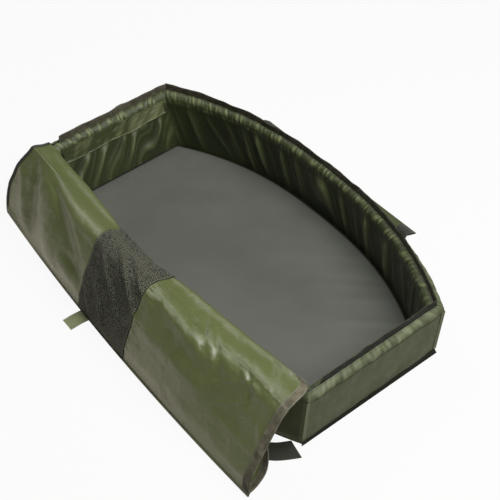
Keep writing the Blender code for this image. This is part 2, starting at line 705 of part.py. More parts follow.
def build_straps():
    """Straps sewn up the long walls, the arches to the wing, and the loose end on the ground."""
    inset = -(FIT + WEBBING_THICKNESS / 2)
    across = np.linspace(-WEBBING_WIDTH / 2, WEBBING_WIDTH / 2, 5)
    share = np.linspace(0, 1, STRAP_STEPS + 1)[1:]
    for name, side in (("left", -1), ("right", 1)):
        x = side * STRAP_X + across
        heights = np.linspace(STRAP_FOOT, FRONT_STRAP_TOP, HEIGHT_STEPS + 1)
        place = place_at(x[:, None], inset, heights[None, :])
        grid = long_face(-1, place, inset, heights[None, :])
        sheet("front_strap_" + name, grid, WEBBING_THICKNESS, "webbing_dark")

        heights = np.linspace(STRAP_FOOT, STRAP_LEAVES_WALL, HEIGHT_STEPS)
        place = place_at(x[:, None], inset, heights[None, :])
        wall = long_face(1, place, inset, heights[None, :])
        rows = []
        for column in range(x.size):
            leave = wall[column, -1]
            end_y = WING_AXIS_Y - STRAP_END_GAP
            curve = bezier((leave[1], leave[2]), (leave[1], leave[2] + STRAP_ARCH_RISE),
                           (end_y - STRAP_END_REACH, WING_AXIS_Z + STRAP_END_RISE),
                           (end_y, WING_AXIS_Z), share)
            arch = np.column_stack([np.full(share.size, leave[0]), curve])
            rows.append(np.concatenate([wall[column], arch]))
        sheet("back_strap_" + name, np.stack(rows), WEBBING_THICKNESS, "webbing_dark")

    share = np.linspace(0, 1, STRAP_STEPS + 1)
    wall_y = front_y(place_at(STRAP_X, 0.0, 0.0), 0.0, 0.0)
    start = np.array([STRAP_X, wall_y - WEBBING_THICKNESS - LOOSE_FIT - LOOSE_WIDTH / 2])
    bend = start + np.array([LOOSE_RUN, -LOOSE_RUN_DROP])
    turn = bend + np.array([LOOSE_BEND_ALONG, LOOSE_BEND_BACK])
    tip = turn + np.array([LOOSE_TIP_ALONG, LOOSE_TIP_BACK])
    path = bezier(start, bend, turn, tip, share)
    ahead = np.gradient(path, axis=0)
    ahead = ahead / np.linalg.norm(ahead, axis=1, keepdims=True)
    left_hand = np.stack([-ahead[:, 1], ahead[:, 0]], axis=1)
    across = np.linspace(-LOOSE_WIDTH / 2, LOOSE_WIDTH / 2, 5)
    plan = path[None, :, :] + across[:, None, None] * left_hand[None, :, :]
    height = np.full(plan.shape[:2] + (1,), FIT + WEBBING_THICKNESS / 2)
    sheet("loose_strap_end", np.concatenate([plan, height], axis=2), WEBBING_THICKNESS, "webbing_dark")


def build_grip(name, centre_y):
    """A padded grip lying on the ground along X."""
    turns = np.linspace(0, 2 * math.pi, GRIP_SIDES, endpoint=False)
    station_shares = np.array([-1.0, -0.96, -0.5, 0.0, 0.5, 0.96, 1.0])
    seam_shares = np.array([1.0, 0.0, 0.0, 0.0, 0.0, 0.0, 1.0])
    stations = station_shares * GRIP_HALF_LENGTH
    radii = GRIP_RADIUS - GRIP_SEAM * seam_shares
    rings = []
    for station, radius in zip(stations, radii):
        y = centre_y + radius * np.cos(turns)
        z = GRIP_RADIUS + FIT + radius * np.sin(turns)
        rings.append(np.stack([np.full(turns.size, station), y, z], axis=1))
    loft(name, np.stack(rings), "nylon_roll")


def build_front_wing():
    """The front carry wing, hanging flat down the front wall behind the lid."""
    share = np.linspace(0, 1, TAIL_STEPS + 1)
    foot = GRIP_RADIUS + FIT
    for ending, start, end, slot, count in (
            ("_left", -1.0, -WING_MESH_HALF / FRONT_WING_TOP_HALF, "nylon_outer", PANEL_STEPS // 2),
            ("_mesh", -WING_MESH_HALF / FRONT_WING_TOP_HALF, WING_MESH_HALF / FRONT_WING_TOP_HALF,
             "mesh", MESH_STEPS),
            ("_right", WING_MESH_HALF / FRONT_WING_TOP_HALF, 1.0, "nylon_outer", PANEL_STEPS // 2)):
        place_share = np.linspace(start, end, count + 1)
        trim = np.zeros(place_share.size)
        trim[0] = PANEL_GAP / 2
        trim[-1] = -PANEL_GAP / 2
        across = place_share * FRONT_WING_TOP_HALF + trim
        top_y = front_y(place_at(across, 0.0, FRONT_WING_TOP), 0.0, FRONT_WING_TOP) - FRONT_WING_STANDOFF
        reach = GRIP_RADIUS + FRONT_WING_FIT
        end_y = FRONT_GRIP_Y + reach * math.cos(FRONT_WING_ANGLE)
        end_z = foot + reach * math.sin(FRONT_WING_ANGLE)
        x = mix(across[:, None], place_share[:, None] * GRIP_HALF_LENGTH + trim[:, None], share[None, :])
        y = mix(top_y[:, None], end_y, share[None, :])
        z = mix(FRONT_WING_TOP, end_z, share)[None, :]
        grid = np.stack(np.broadcast_arrays(x, y, z), axis=-1)
        sheet("front_wing" + ending, grid, WING_THICKNESS, slot)
    build_grip("front_wing_grip", FRONT_GRIP_Y)


def wing_half(run):
    """Half width of the wing at a distance from its hinge."""
    total = WING_AXIS_Z - WING_FOLD_HEIGHT + WING_LOWER_LENGTH
    return mix(WING_TOP_HALF, WING_GRIP_HALF, run / total)


def wing_point(across, run, out):
    """Points on the wing at rest: it hangs, then lies outwards along the ground."""
    across, run, out = np.broadcast_arrays(across, run, out)
    hang = WING_AXIS_Z - WING_FOLD_HEIGHT
    upper = np.stack([across, WING_AXIS_Y + out, WING_AXIS_Z - run], axis=-1)
    rise = (GRIP_RADIUS - WING_FOLD_HEIGHT) / WING_LOWER_LENGTH
    lower = np.stack([across, WING_AXIS_Y + (run - hang), WING_FOLD_HEIGHT + (run - hang) * rise + out],
                     axis=-1)
    return np.where((run <= hang)[..., None], upper, lower)


def build_wing():
    """The carry wing: two panels of cloth and mesh, webbing down its edges, and its grip."""
    hang = WING_AXIS_Z - WING_FOLD_HEIGHT
    total = hang + WING_LOWER_LENGTH
    runs = np.linspace(WING_HINGE_GAP, hang - WING_HINGE_GAP, TAIL_STEPS + 1)
    for ending, side in (("_left", -1), ("_right", 1)):
        share = np.linspace(0, 1, PANEL_STEPS // 2)[:, None]
        across = side * mix(WING_MESH_HALF + PANEL_GAP, wing_half(runs)[None, :], share)
        sheet("wing_panel" + ending, wing_point(across, runs[None, :], 0.0), WING_THICKNESS, "nylon_outer")
    across = np.linspace(-WING_MESH_HALF, WING_MESH_HALF, MESH_STEPS + 1)[:, None]
    sheet("wing_mesh", wing_point(across, runs[None, :], 0.0), WING_THICKNESS, "mesh")

    last = total - GRIP_RADIUS - FIT
    lower_runs = np.linspace(hang + WING_HINGE_GAP, last, TAIL_STEPS + 1)
    reach = wing_half(lower_runs)[None, :]
    share = np.linspace(-1, 1, MESH_STEPS + 1)[:, None]
    sheet("wing_lower_panel", wing_point(share * reach, lower_runs[None, :], 0.0), WING_THICKNESS, "mesh")

    lift = -(WING_THICKNESS / 2 + FIT + WEBBING_THICKNESS / 2)
    for ending, side in (("_left", -1), ("_right", 1)):
        width = np.linspace(0, WEBBING_WIDTH, 4)[:, None]
        across = side * (wing_half(runs)[None, :] - width)
        sheet("wing_strap" + ending, wing_point(across, runs[None, :], lift), WEBBING_THICKNESS,
              "webbing_dark")
        across = side * (reach - width)
        sheet("wing_lower_strap" + ending, wing_point(across, lower_runs[None, :], lift),
              WEBBING_THICKNESS, "webbing_dark")

    build_grip("wing_grip", WING_AXIS_Y + WING_LOWER_LENGTH)

    across = np.linspace(-WING_TOP_HALF, WING_TOP_HALF, LONG_STEPS // 2 + 1)
    place = place_at(across, 0.0, WING_SEAM_HEIGHT)
    near = back_y(place, 0.0) + WING_SEAM_STANDOFF
    share = np.linspace(0, 1, 4)
    inside = np.abs(across) < STRAP_X - WEBBING_WIDTH / 2 - WELT_THICKNESS
    across, near = across[inside], near[inside]
    y = mix(near[:, None], WING_AXIS_Y - WING_HINGE_GAP, share[None, :])
    z = mix(WING_SEAM_HEIGHT, WING_AXIS_Z, share)[None, :]
    grid = np.stack(np.broadcast_arrays(across[:, None], y, z), axis=-1)
    sheet("wing_seam_strip", grid, WING_THICKNESS, "nylon_outer")


def hang_on(name, axis_point, pieces, carrier=None):
    """Puts an empty on a joint's axis and hangs the joint's moving pieces on it."""
    place = Vector(axis_point)
    pivot = bpy.data.objects.new(name, None)
    bpy.context.scene.collection.objects.link(pivot)
    pivot.location = place
    if carrier is not None:
        pivot.parent = carrier[0]
        pivot.location = place - carrier[1]
    for piece_name in pieces:
        piece = bpy.data.objects[piece_name]
        piece.data.transform(Matrix.Translation(-place))
        piece.parent = pivot
    return pivot, place


def hang_moving_pieces():
    """Hangs the lid, the carry wing, the pocket flap and the tab on their joints' axes."""
    panels = ("_left", "_mesh", "_right")
    middle = np.array(0.0)
    crest = LID.point(middle, middle, middle)
    lid = hang_on("lid_swing_axis", crest,
                  ["lid_drape" + ending for ending in panels] + ["lid_tape_right", "lid_binding_left"])
    foot = LID.point(middle, middle + LID.length, middle - LID_LAYER_STEP / 2)
    tail = hang_on("lid_fold_axis", foot, ["lid_tail" + ending for ending in panels], lid)
    tip = LID.point(middle, middle + LID.length - TAIL_DEPTH, middle - LID_LAYER_STEP * 3 / 2)
    hang_on("lid_edge_fold_axis", tip, ["lid_edge" + ending for ending in panels], tail)
    hang_on("pull_tab_axis", tab_axis_point(), ["pull_tab"], lid)

    wing = hang_on("back_wing_swing_axis", (0.0, WING_AXIS_Y, WING_AXIS_Z),
                   ["wing_panel_left", "wing_panel_right", "wing_mesh", "wing_strap_left",
                    "wing_strap_right"])
    hang_on("back_wing_fold_axis", (0.0, WING_AXIS_Y, WING_FOLD_HEIGHT),
            ["wing_lower_panel", "wing_lower_strap_left", "wing_lower_strap_right", "wing_grip"], wing)
    flap_x = end_x(-1, WALL_THICKNESS + POCKET_STANDOFF, POCKET_HINGE_HEIGHT)
    hang_on("pocket_flap_axis", (flap_x, 0.0, POCKET_HINGE_HEIGHT), ["pocket_flap"])


def main():
    """Builds every piece."""
    clear_scene()
    build_base()
    build_walls()
    build_welts()
    build_flanges()
    build_pocket_flap()
    build_crest()
    build_lid()
    build_straps()
    build_wing()
    build_front_wing()
    hang_moving_pieces()


main()
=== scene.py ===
"""Looks of the unhooking mat: its nylon, foam, mesh, tapes and webbing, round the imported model.

X runs along the mat, Y from the front wall to the back wall, and Z up from the ground.
All sizes are in metres.
"""
import logging
import math
from dataclasses import dataclass
from enum import Enum
from functools import partial
from typing import Callable, Optional, Sequence, Tuple, Union

import bpy
import numpy as np
from mathutils import Matrix, Vector


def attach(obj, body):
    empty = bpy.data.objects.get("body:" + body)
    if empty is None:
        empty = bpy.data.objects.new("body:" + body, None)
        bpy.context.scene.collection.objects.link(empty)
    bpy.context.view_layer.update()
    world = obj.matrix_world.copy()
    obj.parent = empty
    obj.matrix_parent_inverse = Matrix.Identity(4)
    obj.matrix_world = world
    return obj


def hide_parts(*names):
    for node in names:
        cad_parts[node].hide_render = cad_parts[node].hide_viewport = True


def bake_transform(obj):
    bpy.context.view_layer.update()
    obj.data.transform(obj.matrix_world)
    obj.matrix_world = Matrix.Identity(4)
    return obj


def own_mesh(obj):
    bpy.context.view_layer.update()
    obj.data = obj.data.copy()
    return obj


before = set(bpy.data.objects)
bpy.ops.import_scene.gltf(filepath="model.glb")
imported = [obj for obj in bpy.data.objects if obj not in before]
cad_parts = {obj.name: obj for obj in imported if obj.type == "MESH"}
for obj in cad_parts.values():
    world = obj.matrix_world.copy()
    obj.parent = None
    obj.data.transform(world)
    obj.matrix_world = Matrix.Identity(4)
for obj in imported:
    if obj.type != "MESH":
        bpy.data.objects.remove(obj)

LOG = logging.getLogger("unhooking_mat")
NOISE_WAVES = 18
NYLON = 0.0012
DOUBLED_NYLON = 0.0013
WEBBING = 0.0018
Colour = Tuple[float, float, float]
Pair = Tuple[float, float]
Array = np.ndarray
Grids = Tuple[Array, Array]
Number = Union[float, Array]
Piece = bpy.types.Object
Socket = bpy.types.NodeSocket
Feed = Union[Socket, float, Colour]


def between(start: Number, end: Number, share: Number) -> Number:
    """Value a share of the way from start to end."""
    return start + (end - start) * share


def smooth_step(value: Array, low: float, high: float) -> Array:
    """Eases from 0 at low to 1 at high: 3 t squared less 2 t cubed."""
    t = np.clip((value - low) / (high - low), 0.0, 1.0)
    return t * t * (3 - 2 * t)


def soft_noise(u: Array, v: Array, pitch: float, seed: int) -> Array:
    """Soft uneven height of about -1 to 1.

    It is the sum of sine waves whose directions, lengths and starts come from a seed.

    Args:
        u: Distance one way over the cloth.
        v: Distance the other way.
        pitch: Usual length of a wave.
        seed: Which pattern.

    Returns:
        The height at each place.
    """
    dice = np.random.default_rng(seed)
    total = np.zeros(np.broadcast(u, v).shape)
    for _ in range(NOISE_WAVES):
        turn, start = dice.uniform(0, 2 * math.pi, 2)
        length = pitch * dice.uniform(0.55, 1.9)
        total = total + np.sin(2 * math.pi * (u * math.cos(turn) + v * math.sin(turn)) / length + start)
    return total / math.sqrt(NOISE_WAVES)


def wander(along: Array, pitch: float, seed: int) -> Array:
    """Soft uneven height that changes along one distance only."""
    return soft_noise(along, 0 * along, pitch, seed)


def points_at(x: Array, y: Array, z: Array) -> Array:
    """Points from three coordinates, each spread over the same grid."""
    return np.stack(np.broadcast_arrays(x, y, z), axis=-1)


def times(colour: Colour, by: float) -> Colour:
    """Colour made lighter or darker by a factor."""
    return tuple(by * part for part in colour)


def unit_normals(grid: Array) -> Array:
    """Unit normal at each point of a grid: the cross product of its two tangents."""
    normal = np.cross(np.gradient(grid, axis=0), np.gradient(grid, axis=1))
    return normal / np.maximum(np.linalg.norm(normal, axis=2, keepdims=True), 1e-12)


def run_along(grid: Array, axis: int) -> Array:
    """Distance walked along one axis of a grid: the running sum of its steps."""
    steps = np.linalg.norm(np.diff(grid, axis=axis), axis=2)
    lead = [(0, 0), (0, 0)]
    lead[axis] = (1, 0)
    return np.cumsum(np.pad(steps, lead), axis=axis)


def to_rim(u: Array, v: Array) -> Grids:
    """Distance to the nearer rim one way and the other, from the distances walked."""
    return np.minimum(u, u[-1:] - u), np.minimum(v, v[:, -1:] - v)


def curves_through(points: Array, steps: Sequence[int]) -> Array:
    """Smooth curves through rows of points, one curve to a row.

    Between two points a curve is the cubic with the slopes that it has at both, and each slope is
    the mean of the chords on its two sides, the shorter one counting for more.

    Args:
        points: Points, by curve and by place along it.
        steps: Count of steps between each two points.

    Returns:
        Points, by curve and by place along it.
    """
    chord = np.linalg.norm(np.diff(points, axis=1), axis=2).mean(axis=0)
    slope = np.gradient(points, np.concatenate([[0.0], np.cumsum(chord)]), axis=1)
    part = np.repeat(np.arange(len(steps)), steps)
    t = np.concatenate([np.arange(count) / count for count in steps])[None, :, None]
    reach = chord[part][None, :, None]
    curve = (points[:, part] * (2 * t ** 3 - 3 * t ** 2 + 1) + points[:, part + 1] * (3 * t ** 2 - 2 * t ** 3)
             + slope[:, part] * reach * (t ** 3 - 2 * t ** 2 + t)
             + slope[:, part + 1] * reach * (t ** 3 - t ** 2))
    return np.concatenate([curve, points[:, -1:]], axis=1)


def put_mesh(name: str, points: Array, quads: Array, uv: Optional[Array] = None,
             marks: Optional[dict] = None, rim: Optional[Array] = None,
             side: Optional[Array] = None, fans: Sequence[Tuple[int, ...]] = ()) -> Piece:
    """Puts points and faces into a new object whose faces look outwards.

    The signed volume, a sixth of the sum over triangles of a . (b x c), tells inside from outside.

    Args:
        name: The piece's name.
        points: Points, one row each.
        quads: Four point numbers for each face.
        uv: Place of each point on the flat cloth.
        marks: Values of each point that the materials read, by name.
        rim: True for points on the sheet's rim.
        side: 0 or 1 for the two faces of a sheet.
        fans: Further faces, of any count of corners.

    Returns:
        The new object.
    """
    a, b, c, d = (points[quads[:, i]] for i in range(4))
    volume = np.einsum("ij,ij->i", a, np.cross(b, c)).sum() + np.einsum("ij,ij->i", a, np.cross(c, d)).sum()
    if volume < 0:
        quads = quads[:, ::-1]
        fans = [tuple(reversed(fan)) for fan in fans]
    corners = np.concatenate([quads.ravel()] + [np.array(fan) for fan in fans]).astype(np.int32)
    sizes = np.array([4] * len(quads) + [len(fan) for fan in fans])
    mesh = bpy.data.meshes.new(name)
    mesh.vertices.add(len(points))
    mesh.vertices.foreach_set("co", points.astype(np.float32).ravel())
    mesh.loops.add(len(corners))
    mesh.loops.foreach_set("vertex_index", corners)
    mesh.polygons.add(len(sizes))
    mesh.polygons.foreach_set("loop_start", np.concatenate([[0], np.cumsum(sizes)[:-1]]).astype(np.int32))
    mesh.update(calc_edges=True)
    mesh.shade_smooth()
    if uv is not None:
        mesh.uv_layers.new(name="cloth").data.foreach_set("uv", uv[corners].astype(np.float32).ravel())
    for mark, values in (marks or {}).items():
        layer = mesh.attributes.new(mark, "FLOAT", "POINT")
        layer.data.foreach_set("value", np.asarray(values, np.float32).ravel())
    if rim is not None:
        ends = np.empty(len(mesh.edges) * 2, np.int32)
        mesh.edges.foreach_get("vertices", ends)
        first, second = ends.reshape(-1, 2).T
        mesh.edges.foreach_set("use_edge_sharp", rim[first] & rim[second] & (side[first] == side[second]))
    piece = bpy.data.objects.new(name, mesh)
    bpy.context.scene.collection.objects.link(piece)
    return piece


def shell(name: str, upper: Array, lower: Array, marks: Optional[dict] = None) -> Piece:
    """Closes the space between two grids into one piece, with its rim as a crisp cut edge.

    Args:
        name: The piece's name.
        upper: Grid of points on one face.
        lower: Grid of points on the other face.
        marks: Values at each grid point that the material reads, by name.

    Returns:
        The new object, with a UV map in metres, and the marks hem, run and side.
    """
    rows, columns = upper.shape[:2]
    count = rows * columns
    at = np.arange(count).reshape(rows, columns)
    top = np.stack([at[:-1, :-1], at[1:, :-1], at[1:, 1:], at[:-1, 1:]], axis=-1).reshape(-1, 4)
    ring = np.concatenate([at[:, 0], at[-1, 1:], at[-2::-1, -1], at[0, -2:0:-1]])
    after = np.roll(ring, -1)
    wall = np.stack([ring, ring + count, after + count, after], axis=-1)
    quads = np.concatenate([top, top[:, ::-1] + count, wall])
    u, v = run_along(upper, 0), run_along(upper, 1)
    near_u, near_v = to_rim(u, v)
    rim = np.zeros((rows, columns), bool)
    rim[[0, -1], :] = rim[:, [0, -1]] = True
    both = {"hem": np.minimum(near_u, near_v), "run": np.where(near_u < near_v, v, u), **(marks or {})}
    side = np.repeat([1.0, 0.0], count)
    doubled = {mark: np.tile(np.broadcast_to(values, (rows, columns)).ravel(), 2)
               for mark, values in both.items()}
    doubled["side"] = side
    uv = np.tile(np.stack([u.ravel(), v.ravel()], axis=1), (2, 1))
    return put_mesh(name, np.concatenate([upper.reshape(-1, 3), lower.reshape(-1, 3)]), quads, uv,
                    doubled, np.tile(rim.ravel(), 2), side)


def cloth(name: str, grid: Array, thickness: float, marks: Optional[dict] = None,
          normal: Optional[Array] = None) -> Piece:
    """Sheet of even thickness about a grid: half of it to each side along the normals."""
    half = (unit_normals(grid) if normal is None else normal) * (thickness / 2)
    return shell(name, grid + half, grid - half, marks)


def rounded_body(name: str, rings: Array) -> Piece:
    """Closed body through rings of points, with a fan of faces over each end ring."""
    count, sides = rings.shape[:2]
    at = np.arange(count * sides).reshape(count, sides)
    after = np.roll(at, -1, axis=1)
    quads = np.stack([at[:-1], after[:-1], after[1:], at[1:]], axis=-1).reshape(-1, 4)
    u = np.repeat(run_along(rings, 0).mean(axis=1)[:, None], sides, axis=1)
    v = run_along(rings, 1)
    fans = [tuple(at[0, ::-1].tolist()), tuple(at[-1].tolist())]
    return put_mesh(name, rings.reshape(-1, 3), quads, np.stack([u.ravel(), v.ravel()], axis=1),
                    {"hem": u.ravel(), "run": v.ravel()}, fans=fans)


class Bench:
    """Adds and joins the nodes of one material."""

    def __init__(self, name: str) -> None:
        """Starts a material with one Principled shader."""
        self.material = bpy.data.materials.new(name)
        self.material.use_nodes = True
        self.tree = self.material.node_tree
        self.shader = self.tree.nodes["Principled BSDF"]

    def node(self, kind: str, **settings) -> bpy.types.Node:
        """Adds a node and sets its own settings."""
        made = self.tree.nodes.new(kind)
        for key, value in settings.items():
            setattr(made, key, value)
        return made

    def feed(self, socket: Socket, value: Feed) -> None:
        """Sets a socket, or joins another socket to it."""
        if isinstance(value, Socket):
            self.tree.links.new(value, socket)
        else:
            socket.default_value = value

    def place(self) -> Socket:
        """Place on the object, in metres."""
        return self.node("ShaderNodeTexCoord").outputs["Object"]

    def flat(self) -> Tuple[Socket, Socket]:
        """Place on the flat cloth, in metres."""
        split = self.node("ShaderNodeSeparateXYZ")
        self.feed(split.inputs[0], self.node("ShaderNodeUVMap", uv_map="cloth").outputs[0])
        return split.outputs[0], split.outputs[1]

    def mark(self, name: str) -> Socket:
        """Value that the piece's mesh carries."""
        return self.node("ShaderNodeAttribute", attribute_name=name).outputs["Fac"]

    def sum(self, operation: str, first: Feed, second: Feed = 0.0, third: Feed = 0.0) -> Socket:
        """One step of arithmetic."""
        made = self.node("ShaderNodeMath", operation=operation)
        for socket, value in zip(made.inputs, (first, second, third)):
            self.feed(socket, value)
        return made.outputs[0]

    def wave(self, along: Feed, pitch: float, shift: float = 0.0) -> Socket:
        """Sine of a distance, one turn for each pitch."""
        return self.sum("SINE", self.sum("MULTIPLY_ADD", along, 2 * math.pi / pitch, shift))

    def noise(self, scale: float, detail: float = 3.0, rough: float = 0.55, warp: float = 0.0,
              stretch: Tuple[float, float, float] = (1.0, 1.0, 1.0)) -> Socket:
        """Noise over the object's own coordinates."""
        mapping = self.node("ShaderNodeMapping")
        self.feed(mapping.inputs["Vector"], self.place())
        self.feed(mapping.inputs["Scale"], stretch)
        made = self.node("ShaderNodeTexNoise")
        for key, value in (("Vector", mapping.outputs[0]), ("Scale", scale), ("Detail", detail),
                           ("Roughness", rough), ("Distortion", warp)):
            self.feed(made.inputs[key], value)
        return made.outputs["Fac"]

    def spread(self, value: Feed, low: float, high: float, to_low: float = 0.0, to_high: float = 1.0) -> Socket:
        """Maps a range onto another, and holds it there."""
        made = self.node("ShaderNodeMapRange", interpolation_type="SMOOTHSTEP")
        for socket, setting in zip(made.inputs, (value, low, high, to_low, to_high)):
            self.feed(socket, setting)
        return made.outputs[0]

    def mix(self, share: Feed, first: Feed, second: Feed) -> Socket:
        """Colour a share of the way from the first to the second."""
        made = self.node("ShaderNodeMix", data_type="RGBA")
        self.feed(made.inputs["Factor"], share)
        ends = [socket for socket in made.inputs if socket.type == "RGBA"]
        for socket, colour in zip(ends, (first, second)):
            self.feed(socket, (*colour, 1.0) if isinstance(colour, tuple) else colour)
        return next(socket for socket in made.outputs if socket.type == "RGBA")

    def relief(self, height: Socket, depth: float, below: Optional[Socket] = None) -> Socket:
        """Bump of a real depth in metres, on top of another."""
        made = self.node("ShaderNodeBump")
        self.feed(made.inputs["Distance"], depth)
        self.feed(made.inputs["Height"], height)
        if below is not None:
            self.feed(made.inputs["Normal"], below)
        return made.outputs[0]

    def stitches(self, inset: float, width: float, pitch: float) -> Socket:
        """1 on a row of stitches that follows the hem, else 0."""
        line = self.sum("COMPARE", self.mark("hem"), inset, width)
        dash = self.sum("LESS_THAN", self.sum("FRACT", self.sum("DIVIDE", self.mark("run"), pitch)), 0.62)
        return self.sum("MULTIPLY", line, dash)

    def finish(self, colour: Feed, roughness: Feed, normal: Socket, sheen: float = 0.0, coat: float = 0.0,
               coat_roughness: float = 0.2, specular: float = 0.5) -> bpy.types.Material:
        """Joins what was made to the shader, with the constants set on its own sockets."""
        inputs = self.shader.inputs
        self.feed(inputs["Base Color"], colour)
        self.feed(inputs["Roughness"], roughness)
        self.feed(inputs["Normal"], normal)
        for name, value in (("Sheen Weight", sheen), ("Sheen Roughness", 0.4), ("Coat Weight", coat),
                            ("Coat Roughness", coat_roughness), ("Specular IOR Level", specular)):
            inputs[name].default_value = value
        return self.material


@dataclass(frozen=True)
class NylonFinish:
    """Proofed nylon: a fine plain weave with fine creases, and stitches along its hems.

    Ridges, crests and rolls are lightened by painted light, and grooves darkened by painted shade. Both are marks
    of the piece's mesh.
    """

    name: str
    slot: str
    shade: Colour
    light: Colour
    roughness: float = 0.42
    crease_scale: float = 38.0
    crease_depth: float = 0.0012
    weave_pitch: float = 0.0011
    weave_depth: float = 0.00005
    specular: float = 0.5
    # colour of the painted light on ridges, crests and rolls
    ridge: Optional[Colour] = None
    # colour of the stitches, also used for the painted shade in grooves
    stitch: Colour = (0.030, 0.036, 0.016)

    def make(self) -> bpy.types.Material:
        """Material of this finish."""
        bench = Bench(self.name)
        u, v = bench.flat()
        weave = bench.sum("MULTIPLY", bench.wave(u, self.weave_pitch), bench.wave(v, self.weave_pitch))
        broad = bench.noise(6.0, 3.0, 0.5)
        crease = bench.noise(self.crease_scale, 7.0, 0.62, 0.6)
        colour = bench.mix(bench.spread(broad, 0.3, 0.7), self.shade, self.light)
        colour = bench.mix(bench.spread(weave, -1.0, 1.0, 0.0, 0.16), colour, self.light)
        # painted light: the ridge colour, where the mesh's ridge mark is set
        if self.ridge is not None:
            colour = bench.mix(bench.mark("ridge"), colour, self.ridge)
        wear = bench.spread(bench.mark("hem"), 0.0, 0.0022, 0.35, 0.0)
        colour = bench.mix(wear, colour, self.light)
        # painted shade in a groove, in the stitches' colour, where the mesh's seam mark is set
        colour = bench.mix(bench.mark("seam"), colour, self.stitch)
        stitch = bench.stitches(0.0042, 0.0005, 0.0036)
        colour = bench.mix(bench.sum("MULTIPLY", stitch, 0.8), colour, self.stitch)
        rough = bench.spread(crease, 0.3, 0.7, self.roughness - 0.05, self.roughness + 0.07)
        normal = bench.relief(crease, self.crease_depth)
        normal = bench.relief(weave, self.weave_depth, normal)
        normal = bench.relief(stitch, 0.0004, normal)
        return bench.finish(colour, rough, normal, sheen=0.05, specular=self.specular)


@dataclass(frozen=True)
class MeshFinish:
    """Knitted mesh: staggered holes between yarns."""

    name: str
    slot: str
    yarn: Colour = (0.105, 0.106, 0.070)
    hole: Colour = (0.004, 0.005, 0.003)
    pitch: float = 0.0062

    def make(self) -> bpy.types.Material:
        """Material of this finish."""
        bench = Bench(self.name)
        u, v = bench.flat()
        net = bench.sum("MULTIPLY", bench.wave(u, self.pitch), bench.wave(v, self.pitch * 1.5))
        uneven = bench.spread(bench.noise(430.0, 1.0, 0.7), 0.36, 0.64, -0.7, 0.7)
        hole = bench.spread(bench.sum("MULTIPLY_ADD", net, 0.5, uneven), -0.55, 0.25)
        yarn = bench.mix(bench.noise(900.0, 2.0), self.yarn, times(self.yarn, 1.7))
        colour = bench.mix(hole, yarn, self.hole)
        seam = bench.spread(bench.mark("hem"), 0.0045, 0.0060, 1.0, 0.0)
        colour = bench.mix(seam, colour, self.hole)
        colour = bench.mix(bench.stitches(0.0030, 0.0014, 0.0062), colour, times(self.yarn, 2.2))
        normal = bench.relief(hole, -0.0009)
        normal = bench.relief(bench.noise(1400.0, 2.0), 0.0003, normal)
        return bench.finish(colour, 0.72, normal, sheen=0.1, specular=0.35)


@dataclass(frozen=True)
class HookTapeFinish:
    """Fuzzy fastening tape with a woven edge, black where its mesh is marked as the back."""

    name: str
    slot: str
    pile: Colour = (0.105, 0.096, 0.066)
    edge: Colour = (0.20, 0.19, 0.14)
    back: Colour = (0.014, 0.014, 0.009)

    def make(self) -> bpy.types.Material:
        """Material of this finish."""
        bench = Bench(self.name)
        fuzz = bench.noise(900.0, 4.0, 0.7)
        patch = bench.noise(60.0, 3.0, 0.6)
        colour = bench.mix(bench.spread(patch, 0.3, 0.7), times(self.pile, 0.7),
                           times(self.pile, 1.35))
        colour = bench.mix(bench.sum("MULTIPLY", fuzz, 0.5), colour, times(self.pile, 0.35))
        edge = bench.sum("MULTIPLY", bench.sum("COMPARE", bench.mark("hem"), 0.0016, 0.0007), 0.7)
        colour = bench.mix(edge, colour, self.edge)
        colour = bench.mix(bench.mark("back"), colour, self.back)
        normal = bench.relief(fuzz, 0.0012)
        normal = bench.relief(patch, 0.0015, normal)
        return bench.finish(colour, 0.95, normal, sheen=0.10, specular=0.1)


@dataclass(frozen=True)
class WebbingFinish:
    """Woven webbing: ribs across it in a twill, with tight edges."""

    name: str
    slot: str
    yarn: Colour
    gap: Colour
    pitch: float = 0.0021

    def make(self) -> bpy.types.Material:
        """Material of this finish."""
        bench = Bench(self.name)
        u, v = bench.flat()
        twill = bench.wave(bench.sum("ADD", u, v), self.pitch)
        rib = bench.wave(u, self.pitch * 0.9)
        weave = bench.sum("MULTIPLY_ADD", rib, 0.5, twill)
        share = bench.spread(weave, -1.2, 1.2)
        colour = bench.mix(share, self.gap, self.yarn)
        colour = bench.mix(bench.spread(bench.noise(25.0), 0.35, 0.7, 0.0, 0.35), colour, self.gap)
        edge = bench.sum("COMPARE", bench.mark("hem"), 0.0012, 0.0006)
        colour = bench.mix(bench.sum("MULTIPLY", edge, 0.5), colour, self.yarn)
        normal = bench.relief(share, 0.00045)
        return bench.finish(colour, 0.8, normal, sheen=0.12, specular=0.3)


@dataclass(frozen=True)
class PvcFinish:
    """Smooth coated sheet with a fine grain, faint marks and soft mottling."""

    name: str
    slot: str
    shade: Colour
    light: Colour
    roughness: float = 0.5
    gloss: float = 0.4
    edge: Optional[Colour] = None

    def make(self) -> bpy.types.Material:
        """Material of this finish."""
        bench = Bench(self.name)
        broad = bench.noise(5.0, 4.0, 0.6)
        grain = bench.noise(700.0, 2.0, 0.5)
        scuff = bench.spread(bench.noise(55.0, 6.0, 0.7, 1.5, (1.0, 0.35, 1.0)), 0.58, 0.72)
        colour = bench.mix(bench.spread(broad, 0.3, 0.7), self.shade, self.light)
        colour = bench.mix(bench.sum("MULTIPLY", scuff, 0.12), colour, times(self.light, 1.3))
        # painted shade: a near-black band along the sheet's rim, where it meets the walls
        if self.edge is not None:
            colour = bench.mix(bench.spread(bench.mark("hem"), 0.007, 0.012, 0.96, 0.0), colour, self.edge)
        rough = bench.spread(scuff, 0.0, 1.0, self.roughness, self.roughness + 0.12)
        normal = bench.relief(grain, 0.00012)
        normal = bench.relief(bench.noise(26.0, 4.0, 0.5), 0.0009, normal)
        return bench.finish(colour, rough, normal, coat=0.15 * self.gloss, coat_roughness=0.4,
                            specular=self.gloss)


